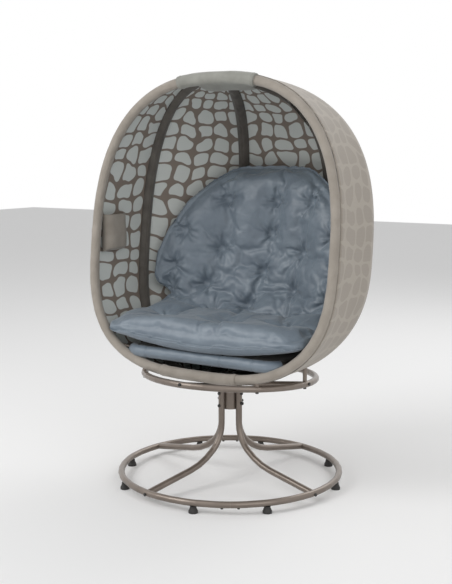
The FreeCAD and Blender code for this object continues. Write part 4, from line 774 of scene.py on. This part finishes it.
for vert, way in zip(cushion.data.vertices, ways):
    if way.y > 0.35 or way.z < -0.35:
        continue
    lift = 0.0
    for number, (tuft, axis) in enumerate(zip(TUFTS, tuft_ways)):
        away = vert.co - tuft
        far = away.length
        if far > TUFT_REACH:
            continue
        flat = away - axis * away.dot(axis)
        side = axis.orthogonal().normalized()
        angle = math.atan2(flat.dot(axis.cross(side)), flat.dot(side))
        rays = math.sin(7 * angle + number * 1.7 + 18 * far) + 0.6 * math.sin(11 * angle + number * 2.9)
        lift += 0.0026 * rays * math.exp(-((far - 0.034) / 0.028) ** 2)
        lift -= 0.013 * math.exp(-(far / 0.019) ** 2)
    lift += 0.0018 * noise.noise(vert.co * 30)
    vert.co += way * lift
for face in cushion.data.polygons:
    face.use_smooth = True
cushion.data.materials.clear()
cushion.data.materials.append(blue_shine)
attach(cushion, "cushion")
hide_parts("cushion")

# Pale floor and soft light of a plain studio, and the camera at about the photograph's angle.
# The sky is white to the camera and to gloss, and the floor keeps a soft shadow.
floor_mesh = bpy.data.meshes.new("studio_floor")
shape = bmesh.new()
bmesh.ops.create_grid(shape, x_segments=1, y_segments=1, size=12)
shape.to_mesh(floor_mesh)
shape.free()
floor = bpy.data.objects.new("studio_floor", floor_mesh)
scene.collection.objects.link(floor)
floor_white = new_material("floor_white", (0.86, 0.86, 0.86), 0.9)[0]
floor.data.materials.append(floor_white)

world = bpy.data.worlds.new("studio")
scene.world = world
world.use_nodes = True
nodes, links = world.node_tree.nodes, world.node_tree.links
sky = nodes["Background"]
sky.inputs["Color"].default_value = (1, 1, 1, 1)
sky.inputs["Strength"].default_value = 0.62
seen = nodes.new("ShaderNodeBackground")
seen.inputs["Color"].default_value = (1, 1, 1, 1)
seen.inputs["Strength"].default_value = 1.0
rays = nodes.new("ShaderNodeLightPath")
either = nodes.new("ShaderNodeMath")
either.operation = "MAXIMUM"
mixed = nodes.new("ShaderNodeMixShader")
links.new(rays.outputs["Is Camera Ray"], either.inputs[0])
links.new(rays.outputs["Is Glossy Ray"], either.inputs[1])
links.new(either.outputs["Value"], mixed.inputs["Fac"])
links.new(sky.outputs["Background"], mixed.inputs[1])
links.new(seen.outputs["Background"], mixed.inputs[2])
links.new(mixed.outputs["Shader"], nodes["World Output"].inputs["Surface"])

for name, place, energy, size in (("key", (-2.2, -3.4, 3.6), 95, 2.4), ("fill", (3.6, -2.6, 2.2), 38, 3.0),
                                  ("back", (0.6, 3.2, 3.4), 45, 2.6)):
    lamp = bpy.data.lights.new(name, "AREA")
    lamp.energy = energy
    lamp.size = size
    holder = bpy.data.objects.new(name, lamp)
    holder.location = place
    holder.rotation_euler = (Vector((0, 0, 0.7)) - Vector(place)).to_track_quat("-Z", "Y").to_euler()
    scene.collection.objects.link(holder)

SENSOR_WIDTH, FRAME_HEIGHT, FOCAL_PIXELS = 36, 584, 1035.4
CAMERA_DISTANCE, CAMERA_HEIGHT = 3.5607, 1.1649
lens = bpy.data.cameras.new("camera")
lens.sensor_width = SENSOR_WIDTH
lens.lens = FOCAL_PIXELS / FRAME_HEIGHT * SENSOR_WIDTH
camera = bpy.data.objects.new("camera", lens)
around = math.radians(32)
camera.location = (CAMERA_DISTANCE * math.sin(around), -CAMERA_DISTANCE * math.cos(around), CAMERA_HEIGHT)
camera.rotation_euler = (math.radians(82), 0, around + math.radians(0.2425))
scene.collection.objects.link(camera)
scene.camera = camera

bpy.context.view_layer.update()
